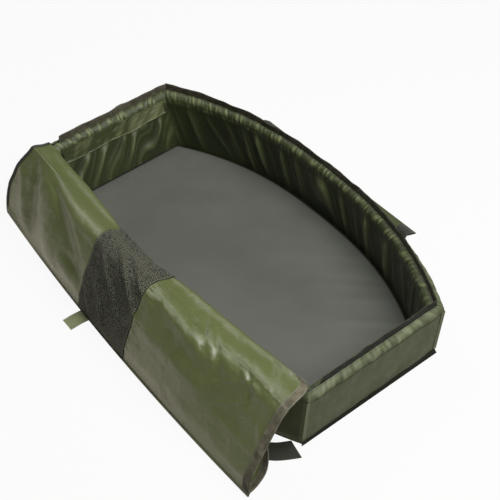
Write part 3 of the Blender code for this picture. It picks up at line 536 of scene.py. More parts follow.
@dataclass(frozen=True)
class FoamFinish:
    """Open foam: fine cells of uneven depth."""

    name: str
    slot: str
    colour: Colour = (0.30, 0.30, 0.28)

    def make(self) -> bpy.types.Material:
        """Material of this finish."""
        bench = Bench(self.name)
        cell = bench.noise(900.0, 3.0, 0.7)
        colour = bench.mix(cell, times(self.colour, 0.6), self.colour)
        return bench.finish(colour, 0.95, bench.relief(cell, 0.0008), specular=0.2)


class Finish(Enum):
    """Finishes of this mat."""

    # its ridge colour is the painted highlight on the covers' padded tops
    OUTER = NylonFinish("smooth olive nylon", "nylon_outer", (0.050, 0.060, 0.023), (0.066, 0.078, 0.034),
                        roughness=0.56, crease_depth=0.0006, specular=0.3, ridge=(0.165, 0.190, 0.105))
    # a lighter copy of the outer nylon: painted light on the rounded corners
    WELT = NylonFinish("corner welt nylon", "nylon_outer", (0.085, 0.102, 0.044), (0.105, 0.124, 0.056),
                       roughness=0.50, crease_depth=0.0005, specular=0.3)
    # its dark base stands in for the shade between the gathers, and its ridge colour is painted light on their
    # crests and on the roll
    INNER = NylonFinish("gathered dark nylon", "nylon_inner", (0.018, 0.024, 0.007), (0.032, 0.040, 0.013),
                        roughness=0.40, specular=0.4, ridge=(0.150, 0.172, 0.074))
    LID = NylonFinish("glossy lid nylon", "nylon_lid", (0.099, 0.119, 0.038), (0.116, 0.136, 0.048),
                      roughness=0.21, crease_depth=0.0006, specular=0.9)
    # its ridge colour is painted light on the pocket flap's crinkles
    ROLL = NylonFinish("crinkled nylon with painted light", "nylon_roll", (0.026, 0.034, 0.010), (0.046, 0.056, 0.018),
                       roughness=0.30, crease_scale=45.0, crease_depth=0.0010, specular=0.6,
                       ridge=(0.200, 0.220, 0.105))
    MESH = MeshFinish("knitted mesh", "mesh")
    HOOK = HookTapeFinish("fuzzy fastening tape", "hook_tape")
    LID_TAPE = HookTapeFinish("brushed lid tape", "hook_tape", (0.162, 0.148, 0.101), (0.25, 0.24, 0.18))
    DARK_WEBBING = WebbingFinish("dark webbing", "webbing_dark", (0.060, 0.062, 0.046), (0.014, 0.015, 0.010))
    LIGHT_WEBBING = WebbingFinish("olive webbing", "webbing_light", (0.380, 0.410, 0.220),
                                  (0.190, 0.215, 0.105))
    # its edge colour is painted shade in the gap along the liner's rim
    FLOOR = PvcFinish("smooth grey liner", "pvc_grey", (0.077, 0.081, 0.066), (0.094, 0.097, 0.082),
                      edge=(0.008, 0.008, 0.006))
    BLACK = PvcFinish("black coated sheet", "pvc_black", (0.010, 0.011, 0.008), (0.017, 0.018, 0.014), gloss=0.08)
    FOAM = FoamFinish("cut foam", "foam")


class Wardrobe:
    """Makes each finish once and dresses pieces in it."""

    def __init__(self) -> None:
        """Starts with no material made."""
        self.made: dict = {}

    def dress(self, piece: Piece, finish: Finish, body: str, *nodes: str) -> Piece:
        """Gives a piece its material, its body and the CAD nodes that it stands for.

        Args:
            piece: The piece.
            finish: Its finish.
            body: The CAD body that it rides on, or "" for none.
            nodes: CAD nodes that it replaces.

        Returns:
            The piece.
        """
        if finish not in self.made:
            self.made[finish] = finish.value.make()
        piece.data.materials.append(self.made[finish])
        if body:
            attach(piece, body)
        if nodes:
            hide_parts(*nodes)
        LOG.info("%s: %d faces, stands for %s", piece.name, len(piece.data.polygons), ", ".join(nodes) or "-")
        return piece

    def sew(self, piece: Piece, finish: Finish, body: str, node: str, **sheet) -> Piece:
        """Dresses a sheet."""
        self.dress(piece, finish, body, node)
        return piece


WARDROBE = Wardrobe()


@dataclass(frozen=True)
class MatPlan:
    """Plan and walls of the mat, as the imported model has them."""

    foot_half_length: float = 0.500
    end_half_width: float = 0.210
    back_bulge: float = 0.124
    front_foot_bulge: float = 0.105
    front_top_bulge: float = 0.035
    bulge_power: float = 2.45
    wall_height: float = 0.178
    wall_thickness: float = 0.030
    left_flare: float = 0.057
    right_flare: float = 0.014
    floor_top: float = 0.033
    floor_crown: float = 0.003
    fit: float = 0.0003

    def bulge_share(self, place: Array) -> Array:
        """Share of the side bulge at a place from -1 to 1: 1 less |place| to a power."""
        return 1.0 - np.abs(place) ** self.bulge_power

    def lean_share(self, height: Array) -> Array:
        """How far up the wall a height is, from 0 to 1."""
        return np.minimum(height, self.wall_height) / self.wall_height

    def end_x(self, side: float, inset: Array, height: Array) -> Array:
        """X of an end wall's face."""
        flare = (self.left_flare if side < 0 else self.right_flare) * self.lean_share(height)
        return side * (self.foot_half_length + flare - inset)

    def long_x(self, place: Array, inset: Array, height: Array) -> Array:
        """X at a place along a long wall, mitred into both end walls."""
        return between(self.end_x(-1, inset, height), self.end_x(1, inset, height), (place + 1) / 2)

    def place_at(self, x: Array, inset: Array, height: Array) -> Array:
        """Place from -1 to 1 along a long wall where its face has this x."""
        left, right = self.end_x(-1, inset, height), self.end_x(1, inset, height)
        return 2 * (x - left) / (right - left) - 1

    def back_y(self, place: Array, inset: Array) -> Array:
        """Y of the back wall's face."""
        return self.end_half_width - inset + self.back_bulge * self.bulge_share(place)

    def front_y(self, place: Array, inset: Array, height: Array) -> Array:
        """Y of the front wall's face, which is drawn in at its top."""
        bulge = between(self.front_foot_bulge, self.front_top_bulge, self.lean_share(height))
        return -(self.end_half_width - inset + bulge * self.bulge_share(place))

    def long_face(self, side: float, place: Array, inset: Array, height: Array) -> Array:
        """Points on a long wall: side 1 is the back wall and -1 the front wall."""
        x = self.long_x(place, inset, height)
        y = self.back_y(place, inset) if side > 0 else self.front_y(place, inset, height)
        return points_at(x, y, height)

    def end_face(self, side: float, place: Array, inset: Array, height: Array) -> Array:
        """Points on an end wall, from -1 at the front to 1 at the back."""
        return points_at(self.end_x(side, inset, height), place * (self.end_half_width - inset), height)


PLAN = MatPlan()


@dataclass(frozen=True)
class Fold:
    """One fold of a cloth: a soft ridge along a line, or a valley if its height is below 0."""

    start: Pair
    end: Pair
    width: float
    height: float
    end_width: float = 0.0

    def rise(self, u: Array, v: Array) -> Array:
        """Height over the cloth: a bell of the distance to the line, tapered to its ends."""
        start, end = np.array(self.start), np.array(self.end)
        way = end - start
        share = ((u - start[0]) * way[0] + (v - start[1]) * way[1]) / (way @ way)
        away = ((u - start[0]) * way[1] - (v - start[1]) * way[0]) / np.linalg.norm(way)
        width = between(self.width, self.end_width or self.width, np.clip(share, 0, 1))
        taper = smooth_step(share, -0.15, 0.25) * (1 - smooth_step(share, 0.75, 1.15))
        return self.height * np.exp(-(away / width) ** 2) * taper


@dataclass
class Walls:
    """The four padded walls, with their covers, their fastening tape and their corner welts."""

    long_steps: int = 420
    end_steps: int = 190
    cover_thickness: float = NYLON
    foam_fit: float = 0.0011
    mitre_gap: float = 0.0006
    foam_top_drop: float = 0.0095
    foam_corner: float = 0.007
    foot: float = 0.0018
    tape_foot: float = 0.1695
    tape_top: float = 0.197
    tape_thickness: float = 0.0020
    tape_front_gap: float = 0.045
    tape_room: float = 0.0009
    tape_sway: float = 0.0015
    sway_pitch: float = 0.085
    top_wander: float = 0.0012
    top_pitch: float = 0.05
    gather_depth: float = 0.0105
    gather_pitch: float = 0.070
    gather_slant: Pair = (0.030, -0.130)
    gather_drift: Pair = (0.018, 0.014)
    drift_pitch: Pair = (0.16, 0.19)
    gather_height_pitch: float = 0.10
    ruffle_depth: float = 0.0022
    ruffle_pitch: float = 0.0095
    outer_puff: float = 0.0022
    uneven_depth: float = 0.0009
    uneven_pitch: float = 0.11
    pucker_depth: float = 0.0010
    pucker_pitch: float = 0.016
    pucker_reach: float = 0.016
    crinkle_pitch: float = 0.020
    shoulder_puff: float = 0.0034
    shoulder_height: float = 0.1665
    shoulder_width: float = 0.0065
    groove_height: float = 0.1555
    groove_width: float = 0.0026
    corner_ease: float = 0.03
    welt_reach: float = 0.009
    welt_bead: float = 0.0008
    welt_foot: float = 0.018
    welt_top: float = 0.158
    welt_standoff: float = 0.00065

    def face(self, name: str) -> Tuple[Callable, float]:
        """Surface of a wall, and half its length."""
        if name in ("back", "front"):
            return partial(PLAN.long_face, 1 if name == "back" else -1), PLAN.foot_half_length
        return partial(PLAN.end_face, 1 if name == "right" else -1), PLAN.end_half_width

    def steps(self, name: str) -> int:
        """Count of steps along a wall."""
        return self.long_steps if name in ("back", "front") else self.end_steps

    def profile(self, inner: bool, steps: int) -> Grids:
        """Inset and height along a cover: straight up, then a quarter circle to the tape."""
        radius = PLAN.wall_thickness / 2
        reach = radius - self.cover_thickness / 2
        shoulder = PLAN.wall_height - radius
        angles = np.linspace(0, math.acos((self.tape_thickness / 2 + self.tape_room) / reach), 13)[1:]
        heights = np.concatenate([np.linspace(self.foot, shoulder, steps), shoulder + reach * np.sin(angles)])
        insets = np.concatenate([np.full(steps, radius - reach), radius - reach * np.cos(angles)])
        return (PLAN.wall_thickness - insets if inner else insets), heights

    def laid_out(self, name: str, steps: int, inset: Array, height: Array) -> Tuple[Array, Array, float]:
        """Grid over a wall's surface, each row's distance along it, and half the wall's length."""
        face, half = self.face(name)
        place = np.linspace(-1, 1, steps) * (1 - self.mitre_gap / half)
        return face(place[:, None], inset[None, :], height[None, :]), (place * half)[:, None], half

    def outward(self, grid: Array) -> Array:
        """Normals of a wall's surface that point away from the mat's middle."""
        normal = unit_normals(grid)
        return normal if (normal[..., :2] * grid[..., :2]).sum() > 0 else -normal

    def foam(self, name: str) -> Piece:
        """Foam of a wall: a rounded box carried along the wall, its top corners eased."""
        side = self.cover_thickness + self.foam_fit
        far = PLAN.wall_thickness - side
        top, c = PLAN.wall_height - self.foam_top_drop, self.foam_corner
        turn = np.linspace(0, math.pi / 2, 6)
        inset = np.concatenate([[side, side], side + c - c * np.cos(turn), far - c + c * np.sin(turn), [far] * 2])
        height = np.concatenate([[self.foot, top / 2], top - c + c * np.sin(turn), top - c + c * np.cos(turn),
                                 [top / 2, self.foot]])
        return rounded_body(name + "_wall_foam", self.laid_out(name, 61, inset, height)[0])

    def outer_cover(self, name: str, seed: int) -> Piece:
        """Smooth outer cover: drawn over the foam, with puckers under the tape's seam.

        The surface moves out by a sine of the height for the foam's push, by soft noise, and by fine
        waves that die away below the top seam and above the foot seam. On the end walls the top
        stands out as a padded shoulder over a groove.
        """
        inset, height = self.profile(False, 60)
        grid, run, half = self.laid_out(name, self.steps(name) // 2, inset, height)
        z = height[None, :]
        room = np.clip((half - np.abs(run)) / self.corner_ease, 0, 1)
        push = self.outer_puff * np.sin(math.pi * np.clip(z / PLAN.wall_height, 0, 1)) ** 0.6
        push = push + self.uneven_depth * soft_noise(run, z, self.uneven_pitch, seed)
        top = np.exp(-((PLAN.wall_height - z) / self.pucker_reach))
        pucker = self.pucker_depth * soft_noise(run, z * 0.2, self.pucker_pitch, seed + 1) * (top + 0.25)
        lift = (push + pucker) * room * smooth_step(z, 0.002, 0.02)
        crinkle = soft_noise(run, 0.5 * z, self.crinkle_pitch, seed + 2)
        groove = np.exp(-((z - self.groove_height) / self.groove_width) ** 2)
        if name in ("left", "right"):
            shoulder = np.exp(-((z - self.shoulder_height) / self.shoulder_width) ** 2) - 0.9 * groove
            lift = lift + self.shoulder_puff * shoulder * room * (1 + 0.25 * crinkle)
        # painted highlight: the band above the groove is lightened, unevenly by the crinkle, towards the ridge
        # colour
        painted_light = np.clip(0.35 + 0.4 * crinkle, 0, 1) * smooth_step(z, self.groove_height, 0.163)
        # painted shade along the groove under the shoulder, through the seam mark
        return cloth(name + "_wall_outer_cover", grid + self.outward(grid) * lift[..., None],
                     self.cover_thickness, {"ridge": painted_light, "seam": 0.75 * groove})

    def inner_cover(self, name: str, seed: int) -> Piece:
        """Gathered inner cover.

        The gathers are ridges: e to the power of the sine of the distance along the wall less 1, with
        a smaller set between them. Their place slants and drifts with the height. The roll on top is
        ruffled by shorter waves.
        """
        inset, height = self.profile(True, 34)
        grid, run, half = self.laid_out(name, self.steps(name), inset, height)
        z = height[None, :]
        shoulder = PLAN.wall_height - PLAN.wall_thickness / 2
        climb = np.clip((z - PLAN.floor_top) / (shoulder - PLAN.floor_top), 0, 1)
        drift = (self.gather_drift[0] * wander(run, self.drift_pitch[0], seed)
                 + self.gather_slant[name == "left"] * climb
                 + self.gather_drift[1] * (1 - climb) * wander(run, self.drift_pitch[1], seed + 1))
        phase = 2 * math.pi * (run + drift) / self.gather_pitch
        ridge = np.exp(1.8 * (np.sin(phase) - 1))
        small = np.exp(2.0 * (np.sin(phase * 1.73 + 2.0 * climb) - 1))
        tall = np.clip(0.55 + 0.45 * wander(run, self.gather_height_pitch, seed + 2), 0.05, 1.2)
        body = smooth_step(climb, -0.12, 0.35) * (1 - 0.85 * smooth_step(climb, 0.68, 0.95))
        if name == "left":
            body = body * (1 - 0.95 * smooth_step(climb, 0.58, 0.72))
        lift = self.gather_depth * (ridge * tall + 0.2 * small) * body
        roll = np.clip((z - shoulder) / (PLAN.wall_height - shoulder), 0, 1)
        lip = np.sin(math.pi * np.clip(roll * 0.8 + 0.2, 0, 1))
        ruffle = 0.5 + 0.5 * soft_noise(run, 0.3 * z, self.ruffle_pitch, seed + 3)
        lift = lift + self.ruffle_depth * ruffle * (z > shoulder - 0.012) * lip
        room = np.clip((half - PLAN.wall_thickness - np.abs(run)) / 0.02, 0, 1)
        # painted light on the gathers' crests; between them the dark finish stands in for their shade
        painted_light = (np.clip(ridge * tall, 0, 1) ** 1.6 * (0.25 + 0.75 * body)
                + 0.2 * smooth_step(small, 0.55, 1.0) * body)
        # painted light on the roll on top, stronger on its ruffles, takes over from the gathers' share there
        rolled = smooth_step(z, shoulder - 0.014, shoulder - 0.004)
        painted_light = between(painted_light, 0.18 + 0.82 * smooth_step(ruffle, 0.45, 1.1), rolled)
        return cloth(name + "_wall_inner_cover", grid - self.outward(grid) * (lift * room)[..., None],
                     self.cover_thickness, {"ridge": np.clip(painted_light, 0, 1)})

    def tape(self, name: str, seed: int) -> Piece:
        """Fastening tape that stands up from the seam, and sways more towards its top edge."""
        face, half = self.face(name)
        first = -1 + (self.mitre_gap if name == "back" else self.tape_front_gap) / half
        place = np.linspace(first, 1 - self.mitre_gap / half, self.steps(name))[:, None]
        share = np.linspace(0, 1, 10)[None, :]
        run = place * half
        top = self.tape_top + self.top_wander * wander(run, self.top_pitch, seed) - self.top_wander
        sway = self.tape_sway * wander(run, self.sway_pitch, seed + 1) * share ** 1.5
        room = np.clip((half - np.abs(run)) / self.corner_ease, 0, 1)
        grid = face(place, PLAN.wall_thickness / 2 + sway * room, between(self.tape_foot, top, share))
        piece = cloth(name + "_wall_fastening_tape", grid, self.tape_thickness, normal=self.outward(grid))
        layer = piece.data.attributes.new("back", "FLOAT", "POINT")
        layer.data.foreach_set("value", np.repeat([1.0, 0.0], grid[..., 0].size).astype(np.float32))
        return piece

    def welt(self, side: int, end: int) -> Piece:
        """Corner welt: a strip folded round the corner, with a bead along the corner itself."""
        height = np.linspace(self.welt_foot, self.welt_top, 60)[None, :]
        share = np.linspace(-1, 1, 17)[:, None]
        reach = np.abs(share) * self.welt_reach
        inset = -(PLAN.fit + self.welt_standoff) - self.welt_bead * np.exp(-(share / 0.28) ** 2)
        ends = PLAN.end_face(end, side * (1 - reach / PLAN.end_half_width), inset, height)
        longs = PLAN.long_face(side, end * (1 - reach / PLAN.foot_half_length), inset, height)
        grid = np.where((share < 0)[..., None], ends, longs)
        name = f"welt_{'front' if side < 0 else 'back'}_{'left' if end < 0 else 'right'}"
        return cloth(name + "_strip", grid, DOUBLED_NYLON)

    def build(self) -> None:
        """Builds and dresses every wall."""
        lengths = {"back": 1.10, "front": 1.05, "left": 0.42, "right": 0.42}
        for seed, (name, length) in enumerate(lengths.items()):
            foam = WARDROBE.dress(self.foam(name), Finish.FOAM, "mat", name + "_foam")
            outer = WARDROBE.sew(self.outer_cover(name, 20 + 7 * seed), Finish.OUTER, "mat",
                                 name + "_outer_cover", flat=(0.188, length), held="stretched", rests_on=[foam])
            inner = WARDROBE.sew(self.inner_cover(name, 50 + 7 * seed), Finish.INNER, "mat",
                                 name + "_inner_cover", flat=(0.200, length * 1.06), held="gathered",
                                 rests_on=[foam])
            if name != "front":
                WARDROBE.sew(self.tape(name, 90 + 5 * seed), Finish.HOOK, "mat", name + "_fastening_tape",
                             flat=(0.0275, length if name == "back" else 0.375), held="stretched",
                             rests_on=[outer, inner])
        for side in (-1, 1):
            for end in (-1, 1):
                welt = self.welt(side, end)
                node = welt.name.replace("_strip", "")
                WARDROBE.sew(welt, Finish.WELT, "mat", node, flat=(0.020, 0.148), held="stretched",
                             rests_on=[node.split("_")[1] + "_wall_outer_cover"])


@dataclass
class Base:
    """The ground sheet, the padded base, its liner with a few soft wrinkles, and the near end's lip."""

    sheet_thickness: float = 0.0015
    liner_thickness: float = 0.0015
    wall_clearance: float = 0.0027
    pad_drop: float = 0.0028
    pad_edge_drop: float = 0.0032
    pad_foot: float = 0.0018
    mitre_gap: float = 0.0006
    lip_standoff: float = 0.0008
    lip_thickness: float = 0.0016
    lip_front: float = 0.005
    lip_back: float = 0.016
    lip_flare: float = 0.0045
    hem_dip: float = 0.0030
    hem_dip_reach: float = 0.004
    wrinkles: Tuple[Fold, ...] = (
        Fold((0.36, 0.26), (0.22, 0.10), 0.010, 0.0016, 0.022),
        Fold((0.30, 0.28), (0.14, 0.12), 0.009, -0.0012, 0.020),
        Fold((0.41, 0.20), (0.28, 0.06), 0.009, 0.0013, 0.018),
        Fold((0.20, 0.30), (0.06, 0.14), 0.010, 0.0010, 0.022),
        Fold((-0.20, -0.04), (-0.34, 0.10), 0.016, 0.0012),
        Fold((-0.14, 0.05), (-0.30, 0.16), 0.014, -0.0010),
        Fold((0.42, -0.10), (0.30, -0.02), 0.014, 0.0010),
    )

    def tray(self, inset: float, rim: float, middle: float, along: int, across: int) -> Array:
        """Grid over the mat's plan whose height rises from the rim by a product of quartics."""
        p = np.linspace(-1, 1, along)[:, None]
        q = np.linspace(-1, 1, across)[None, :]
        y = between(PLAN.front_y(p, inset, rim), PLAN.back_y(p, inset), (q + 1) / 2)
        return points_at(PLAN.long_x(p, inset, rim), y, rim + (middle - rim) * (1 - p ** 4) * (1 - q ** 4))

    def build(self) -> None:
        """Builds and dresses the base."""
        flat = np.array([0.0, 0.0, self.sheet_thickness])
        low = self.tray(0.0, 0.0, 0.0, 61, 21)
        WARDROBE.sew(shell("ground_cloth", low + flat, low), Finish.BLACK, "mat", "ground_sheet",
                     flat=(0.66, 1.0), area=0.59, held="laid")

        inset = PLAN.wall_thickness + self.wall_clearance
        rim = PLAN.floor_top - PLAN.floor_crown
        upper = self.tray(inset, rim, PLAN.floor_top, 301, 181)
        grid = upper - np.array([0.0, 0.0, self.liner_thickness / 2])
        rise = sum(fold.rise(grid[..., 0], grid[..., 1]) for fold in self.wrinkles)
        rise = rise + 0.0004 * soft_noise(grid[..., 0], grid[..., 1], 0.16, 5)
        hem = np.minimum(*to_rim(run_along(grid, 0), run_along(grid, 1)))
        grid[..., 2] += rise * smooth_step(hem, 0.0, 0.03) - self.hem_dip * np.exp(-(hem / self.hem_dip_reach))
        liner = WARDROBE.dress(cloth("floor_liner_sheet", grid, self.liner_thickness), Finish.FLOOR, "mat",
                               "floor_liner")

        under = rim - self.liner_thickness - PLAN.fit - self.pad_edge_drop
        top = self.tray(inset, under, PLAN.floor_top - self.liner_thickness - self.pad_drop, 81, 41)
        bottom = self.tray(inset, self.pad_foot, self.pad_foot, 81, 41)
        pad = WARDROBE.dress(shell("base_padding", top, bottom), Finish.FOAM, "mat", "base_foam")

        place = np.linspace(-1, 1, 160) * (1 - self.mitre_gap / PLAN.end_half_width)
        crown = between(self.lip_front, self.lip_back, (place + 1) / 2)
        crown = crown + 0.0008 * wander(place * 0.21, 0.03, 8)
        share = np.linspace(0, 1, 9)[None, :]
        foot = 2.5 * PLAN.fit
        height = foot + (crown[:, None] - foot) * share
        inset = -(PLAN.fit + self.lip_standoff) - self.lip_flare * (1 - share) ** 1.5
        lip = cloth("near_end_binding", PLAN.end_face(1, place[:, None], inset, height), self.lip_thickness)
        WARDROBE.sew(lip, Finish.BLACK, "mat", "near_end_lip", flat=(0.0107, 0.42), held="stretched",
                     rests_on=["right_wall_outer_cover"])


@dataclass
class PocketFlap:
    """Crinkled flap over the foam pocket of the left wall."""

    hinge: float = 0.1655
    turns_at: float = 0.1600
    drop: float = 0.0385
    standoff: float = 0.0028
    front: float = -0.160
    back: float = 0.166
    crinkle_depth: Pair = (0.0023, 0.0006)
    crinkle_pitch: Pair = (0.050, 0.020)
    wander_depth: float = 0.0014
    wander_pitch: float = 0.10
    hem_bead: float = 0.0014

    def build(self) -> None:
        """Builds and dresses the flap: a strip with slanting crinkles, flatter towards its hem.
        """
        y = np.linspace(self.front, self.back, 230)[:, None]
        share = np.linspace(0, 1, 30)[None, :]
        z = self.hinge - self.drop * share + self.wander_depth * wander(y, self.wander_pitch, 3) * share
        x = PLAN.end_x(-1, PLAN.wall_thickness + self.standoff, z)
        crinkle = (self.crinkle_depth[0] * soft_noise(y - 0.9 * z, 0.5 * z, self.crinkle_pitch[0], 4)
                   + self.crinkle_depth[1] * soft_noise(y - z, z, self.crinkle_pitch[1], 6))
        bead = self.hem_bead * np.exp(-((share - 0.96) / 0.03) ** 2)
        x = x + (crinkle + 0.0016) * (1.0 - 0.6 * share) + bead
        # painted light on the crinkles' crests and towards the back end, as shares of the ridge colour; the line
        # along the hem's bead is lighter too
        shade = 0.03 + 0.50 * smooth_step(crinkle, -0.0004, 0.0030) + 0.40 * smooth_step(y, 0.03, 0.13)
        painted_light = np.clip(np.maximum(shade, smooth_step(share, 0.945, 0.965)), 0, 1)
        flap = cloth("pocket_flap_cloth", points_at(x, y, z), DOUBLED_NYLON, {"ridge": painted_light})
        WARDROBE.dress(flap, Finish.ROLL, "", "pocket_flap")
        x_hinge = float(PLAN.end_x(-1, PLAN.wall_thickness + self.standoff, self.turns_at))
        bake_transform(flap)


class LidFrame:
    """Directions of the turned-back lid: along its crest, down its slope and out of it."""

    def __init__(self) -> None:
        """Works out the three directions from the crest's skew and the lid's run-out."""
        skew, run_out, drop = 0.052, 0.1035, 0.198
        self.along = np.array([1.0, -skew, 0.0]) / math.hypot(1.0, skew)
        self.flat_out = np.array([-skew, -1.0, 0.0]) / math.hypot(1.0, skew)
        self.length = math.hypot(run_out, drop)
        up = np.array([0.0, 0.0, 1.0])
        self.down = self.flat_out * (run_out / self.length) - up * (drop / self.length)
        self.out = self.flat_out * (drop / self.length) + up * (run_out / self.length)
        self.origin = np.array([0.0, -0.261, 0.200])

    def point(self, along: Array, down: Array, out: Array) -> Array:
        """Points at distances along the crest, down the slope and out of it."""
        along, down, out = np.broadcast_arrays(along, down, out)
        return (self.origin + along[..., None] * self.along + down[..., None] * self.down
                + out[..., None] * self.out)


class Panel(Enum):
    """The three panels across the lid: cloth, mesh and cloth."""

    LEFT = "left"
    MESH = "mesh"
    RIGHT = "right"


@dataclass
class Lid:
    """The lid, from its hem inside the front wall over the crest, down, and folded under itself."""

    thickness: float = DOUBLED_NYLON
    top_left: float = -0.547
    foot_left: float = -0.568
    hem_right: float = 0.4735
    top_right: float = 0.519
    foot_right: float = 0.538
    mesh_left: float = -0.160
    mesh_right: float = 0.045
    mesh_lap: float = 0.004
    mesh_lift: float = 0.0016
    seam_bow: Pair = (0.016, 0.013)
    seam_pucker: float = 0.0022
    seam_pucker_pitch: float = 0.022
    left_draw: float = 0.020
    crest_reach: Tuple[float, ...] = (-0.070, -0.058, -0.030)
    crest_heights: Tuple[float, ...] = (0.166, 0.1845, 0.1885)
    crest_heights_right: Tuple[float, ...] = (0.185, 0.1945, 0.1935)
    left_section: Tuple[Pair, ...] = ((-0.001, -0.005), (0.012, 0.000), (0.030, 0.006), (0.060, 0.011),
                                      (0.096, 0.011), (0.135, 0.010), (0.175, 0.006), (0.2154, 0.0))
    middle_section: Tuple[Pair, ...] = ((0.000, 0.000), (0.006, 0.0195), (0.020, 0.0345), (0.046, 0.0385),
                                        (0.080, 0.0380), (0.118, 0.0365), (0.168, 0.0260), (0.2154, 0.0015))
    right_section: Tuple[Pair, ...] = ((-0.003, -0.018), (0.014, -0.0095), (0.036, -0.0050), (0.064, 0.000),
                                       (0.096, 0.005), (0.135, 0.010), (0.175, 0.010), (0.2154, 0.0))
    left_ease: Pair = (-0.535, -0.260)
    right_ease: Pair = (0.190, 0.430)
    steps: Tuple[int, ...] = (10, 9, 11, 10, 10, 12, 14, 14, 16, 14)
    crest_steps: int = 30
    raised_hem: float = 0.1815
    hem_line: Tuple[Pair, ...] = (
        (-0.55, 0.000), (-0.48, 0.003), (-0.34, 0.008), (-0.22, 0.001), (-0.165, -0.008), (-0.12, -0.006),
        (-0.07, -0.011), (-0.01, -0.012), (0.03, -0.006), (0.06, -0.002), (0.13, 0.004), (0.28, 0.004),
        (0.33, 0.002), (0.38, -0.001), (0.42, -0.006), (0.48, -0.012))
    sight_along: float = 0.812
    sight_down: float = 0.635
    keep_flat: float = 0.2
    foot_fade: Pair = (0.050, 0.010)
    foot_bow: float = 0.015
    foot_bow_middle: float = 0.08
    foot_bow_curve: float = 0.0648
    bow_reach: float = 0.022
    fold_radius: float = 0.0016
    layer_gap: float = 0.0045
    tail_depth: float = 0.152
    tail_tip_left: float = -0.552
    tail_tip_right: float = 0.508
    edge_depth: float = 0.140
    edge_inset: float = 0.045
    edge_end_depth: float = 0.020
    tape_width: float = 0.022
    binding_width: float = 0.009
    tape_overhang: float = 0.0012
    loop_share: float = 0.84
    loop_bulge: float = 0.030
    folds: Tuple[Fold, ...] = (
        Fold((-0.455, 0.050), (-0.280, 0.235), 0.034, 0.0085, 0.046),
        Fold((-0.500, 0.010), (-0.425, 0.225), 0.014, -0.0070, 0.026),
        Fold((-0.425, 0.010), (-0.195, 0.165), 0.016, -0.0080, 0.028),
        Fold((-0.300, 0.055), (-0.180, 0.120), 0.016, 0.0040, 0.020),
        Fold((-0.300, 0.165), (-0.165, 0.190), 0.014, 0.0050),
        Fold((-0.290, 0.140), (-0.170, 0.165), 0.010, -0.0030),
        Fold((-0.555, 0.060), (-0.440, 0.235), 0.016, 0.0070, 0.026),
        Fold((0.030, 0.118), (0.330, 0.112), 0.024, 0.0080),
        Fold((0.050, 0.045), (0.180, 0.070), 0.018, -0.0055, 0.026),
        Fold((0.176, -0.030), (0.205, 0.020), 0.008, -0.0022, 0.018),
        Fold((0.226, -0.030), (0.258, 0.050), 0.006, -0.0040, 0.022),
        Fold((0.268, -0.020), (0.330, 0.065), 0.006, -0.0050, 0.026),
        Fold((0.400, -0.010), (0.440, 0.060), 0.006, -0.0040, 0.016),
        Fold((0.381, 0.005), (0.455, 0.015), 0.010, 0.0040),
        Fold((0.283, 0.106), (0.413, 0.000), 0.0035, 0.0014),
        Fold((0.329, 0.123), (0.445, 0.038), 0.0030, 0.0014),
        Fold((0.405, 0.135), (0.450, 0.068), 0.0030, -0.0014),
        Fold((0.390, 0.205), (0.520, 0.190), 0.016, 0.0060),
        Fold((0.190, 0.180), (0.300, 0.245), 0.012, -0.0045),
        Fold((0.480, 0.060), (0.520, 0.130), 0.008, 0.0030),
        Fold((-0.150, 0.050), (0.000, 0.165), 0.007, 0.0080),
        Fold((-0.140, 0.120), (-0.020, 0.225), 0.007, 0.0070),
        Fold((-0.090, 0.020), (0.030, 0.110), 0.007, 0.0075),
        Fold((-0.160, 0.160), (-0.080, 0.225), 0.007, 0.0040),
        Fold((-0.050, 0.000), (0.030, 0.060), 0.006, 0.0040),
    )

    def __post_init__(self) -> None:
        """Keeps the lid's directions at hand."""
        self.frame = LidFrame()

    def seam(self, down: Array, right: bool) -> Array:
        """Place along the crest of a seam of the mesh: it bows by a sine and puckers."""
        share = np.clip(down / self.frame.length, 0, 1)
        place = self.mesh_right if right else self.mesh_left
        bow = np.sin(math.pi * share) ** 0.8
        return place + self.seam_bow[right] * bow + self.seam_pucker * wander(down, self.seam_pucker_pitch,
                                                                                31 + right)

    def ends(self, panel: Panel, down: Array) -> Grids:
        """Where a panel starts and ends along the crest, at distances down the slope."""
        share = np.clip(down / self.frame.length, 0, 1)
        if panel is Panel.LEFT:
            drawn_in = self.left_draw * np.sin(math.pi * np.clip(share * 0.93 + 0.02, 0, 1)) ** 1.2
            return between(self.top_left, self.foot_left, share) - drawn_in, self.seam(down, False)
        if panel is Panel.MESH:
            return self.seam(down, False) - self.mesh_lap, self.seam(down, True) + self.mesh_lap
        drawn_in = (self.top_right - self.hem_right) * np.clip(-down / 0.070, 0, 1)
        return self.seam(down, True), between(self.top_right, self.foot_right, share ** 0.6) - drawn_in

    def rise(self, along: Array, down: Array) -> Array:
        """Height of the lid's folds over its smooth form.

        It is the sum of the folds, each a bell about a line; the short puckers beside the mesh's
        seams; and soft noise.
        """
        folds = sum(fold.rise(along, down) for fold in self.folds)
        seam = np.minimum(np.abs(along - self.mesh_left), np.abs(along - self.mesh_right))
        pucker = 0.0014 * soft_noise(0.15 * along, down, 0.013, 12) * np.exp(-seam / 0.014)
        noise = 0.0010 * soft_noise(along, down, 0.075, 13) + 0.00025 * soft_noise(along, down, 0.018, 14)
        return folds + pucker + noise

    def foot_shift(self, along: Array) -> Array:
        """How far the fold on the ground bows away from the mat: a parabola along it."""
        return self.foot_bow - self.foot_bow_curve * (along - self.foot_bow_middle) ** 2

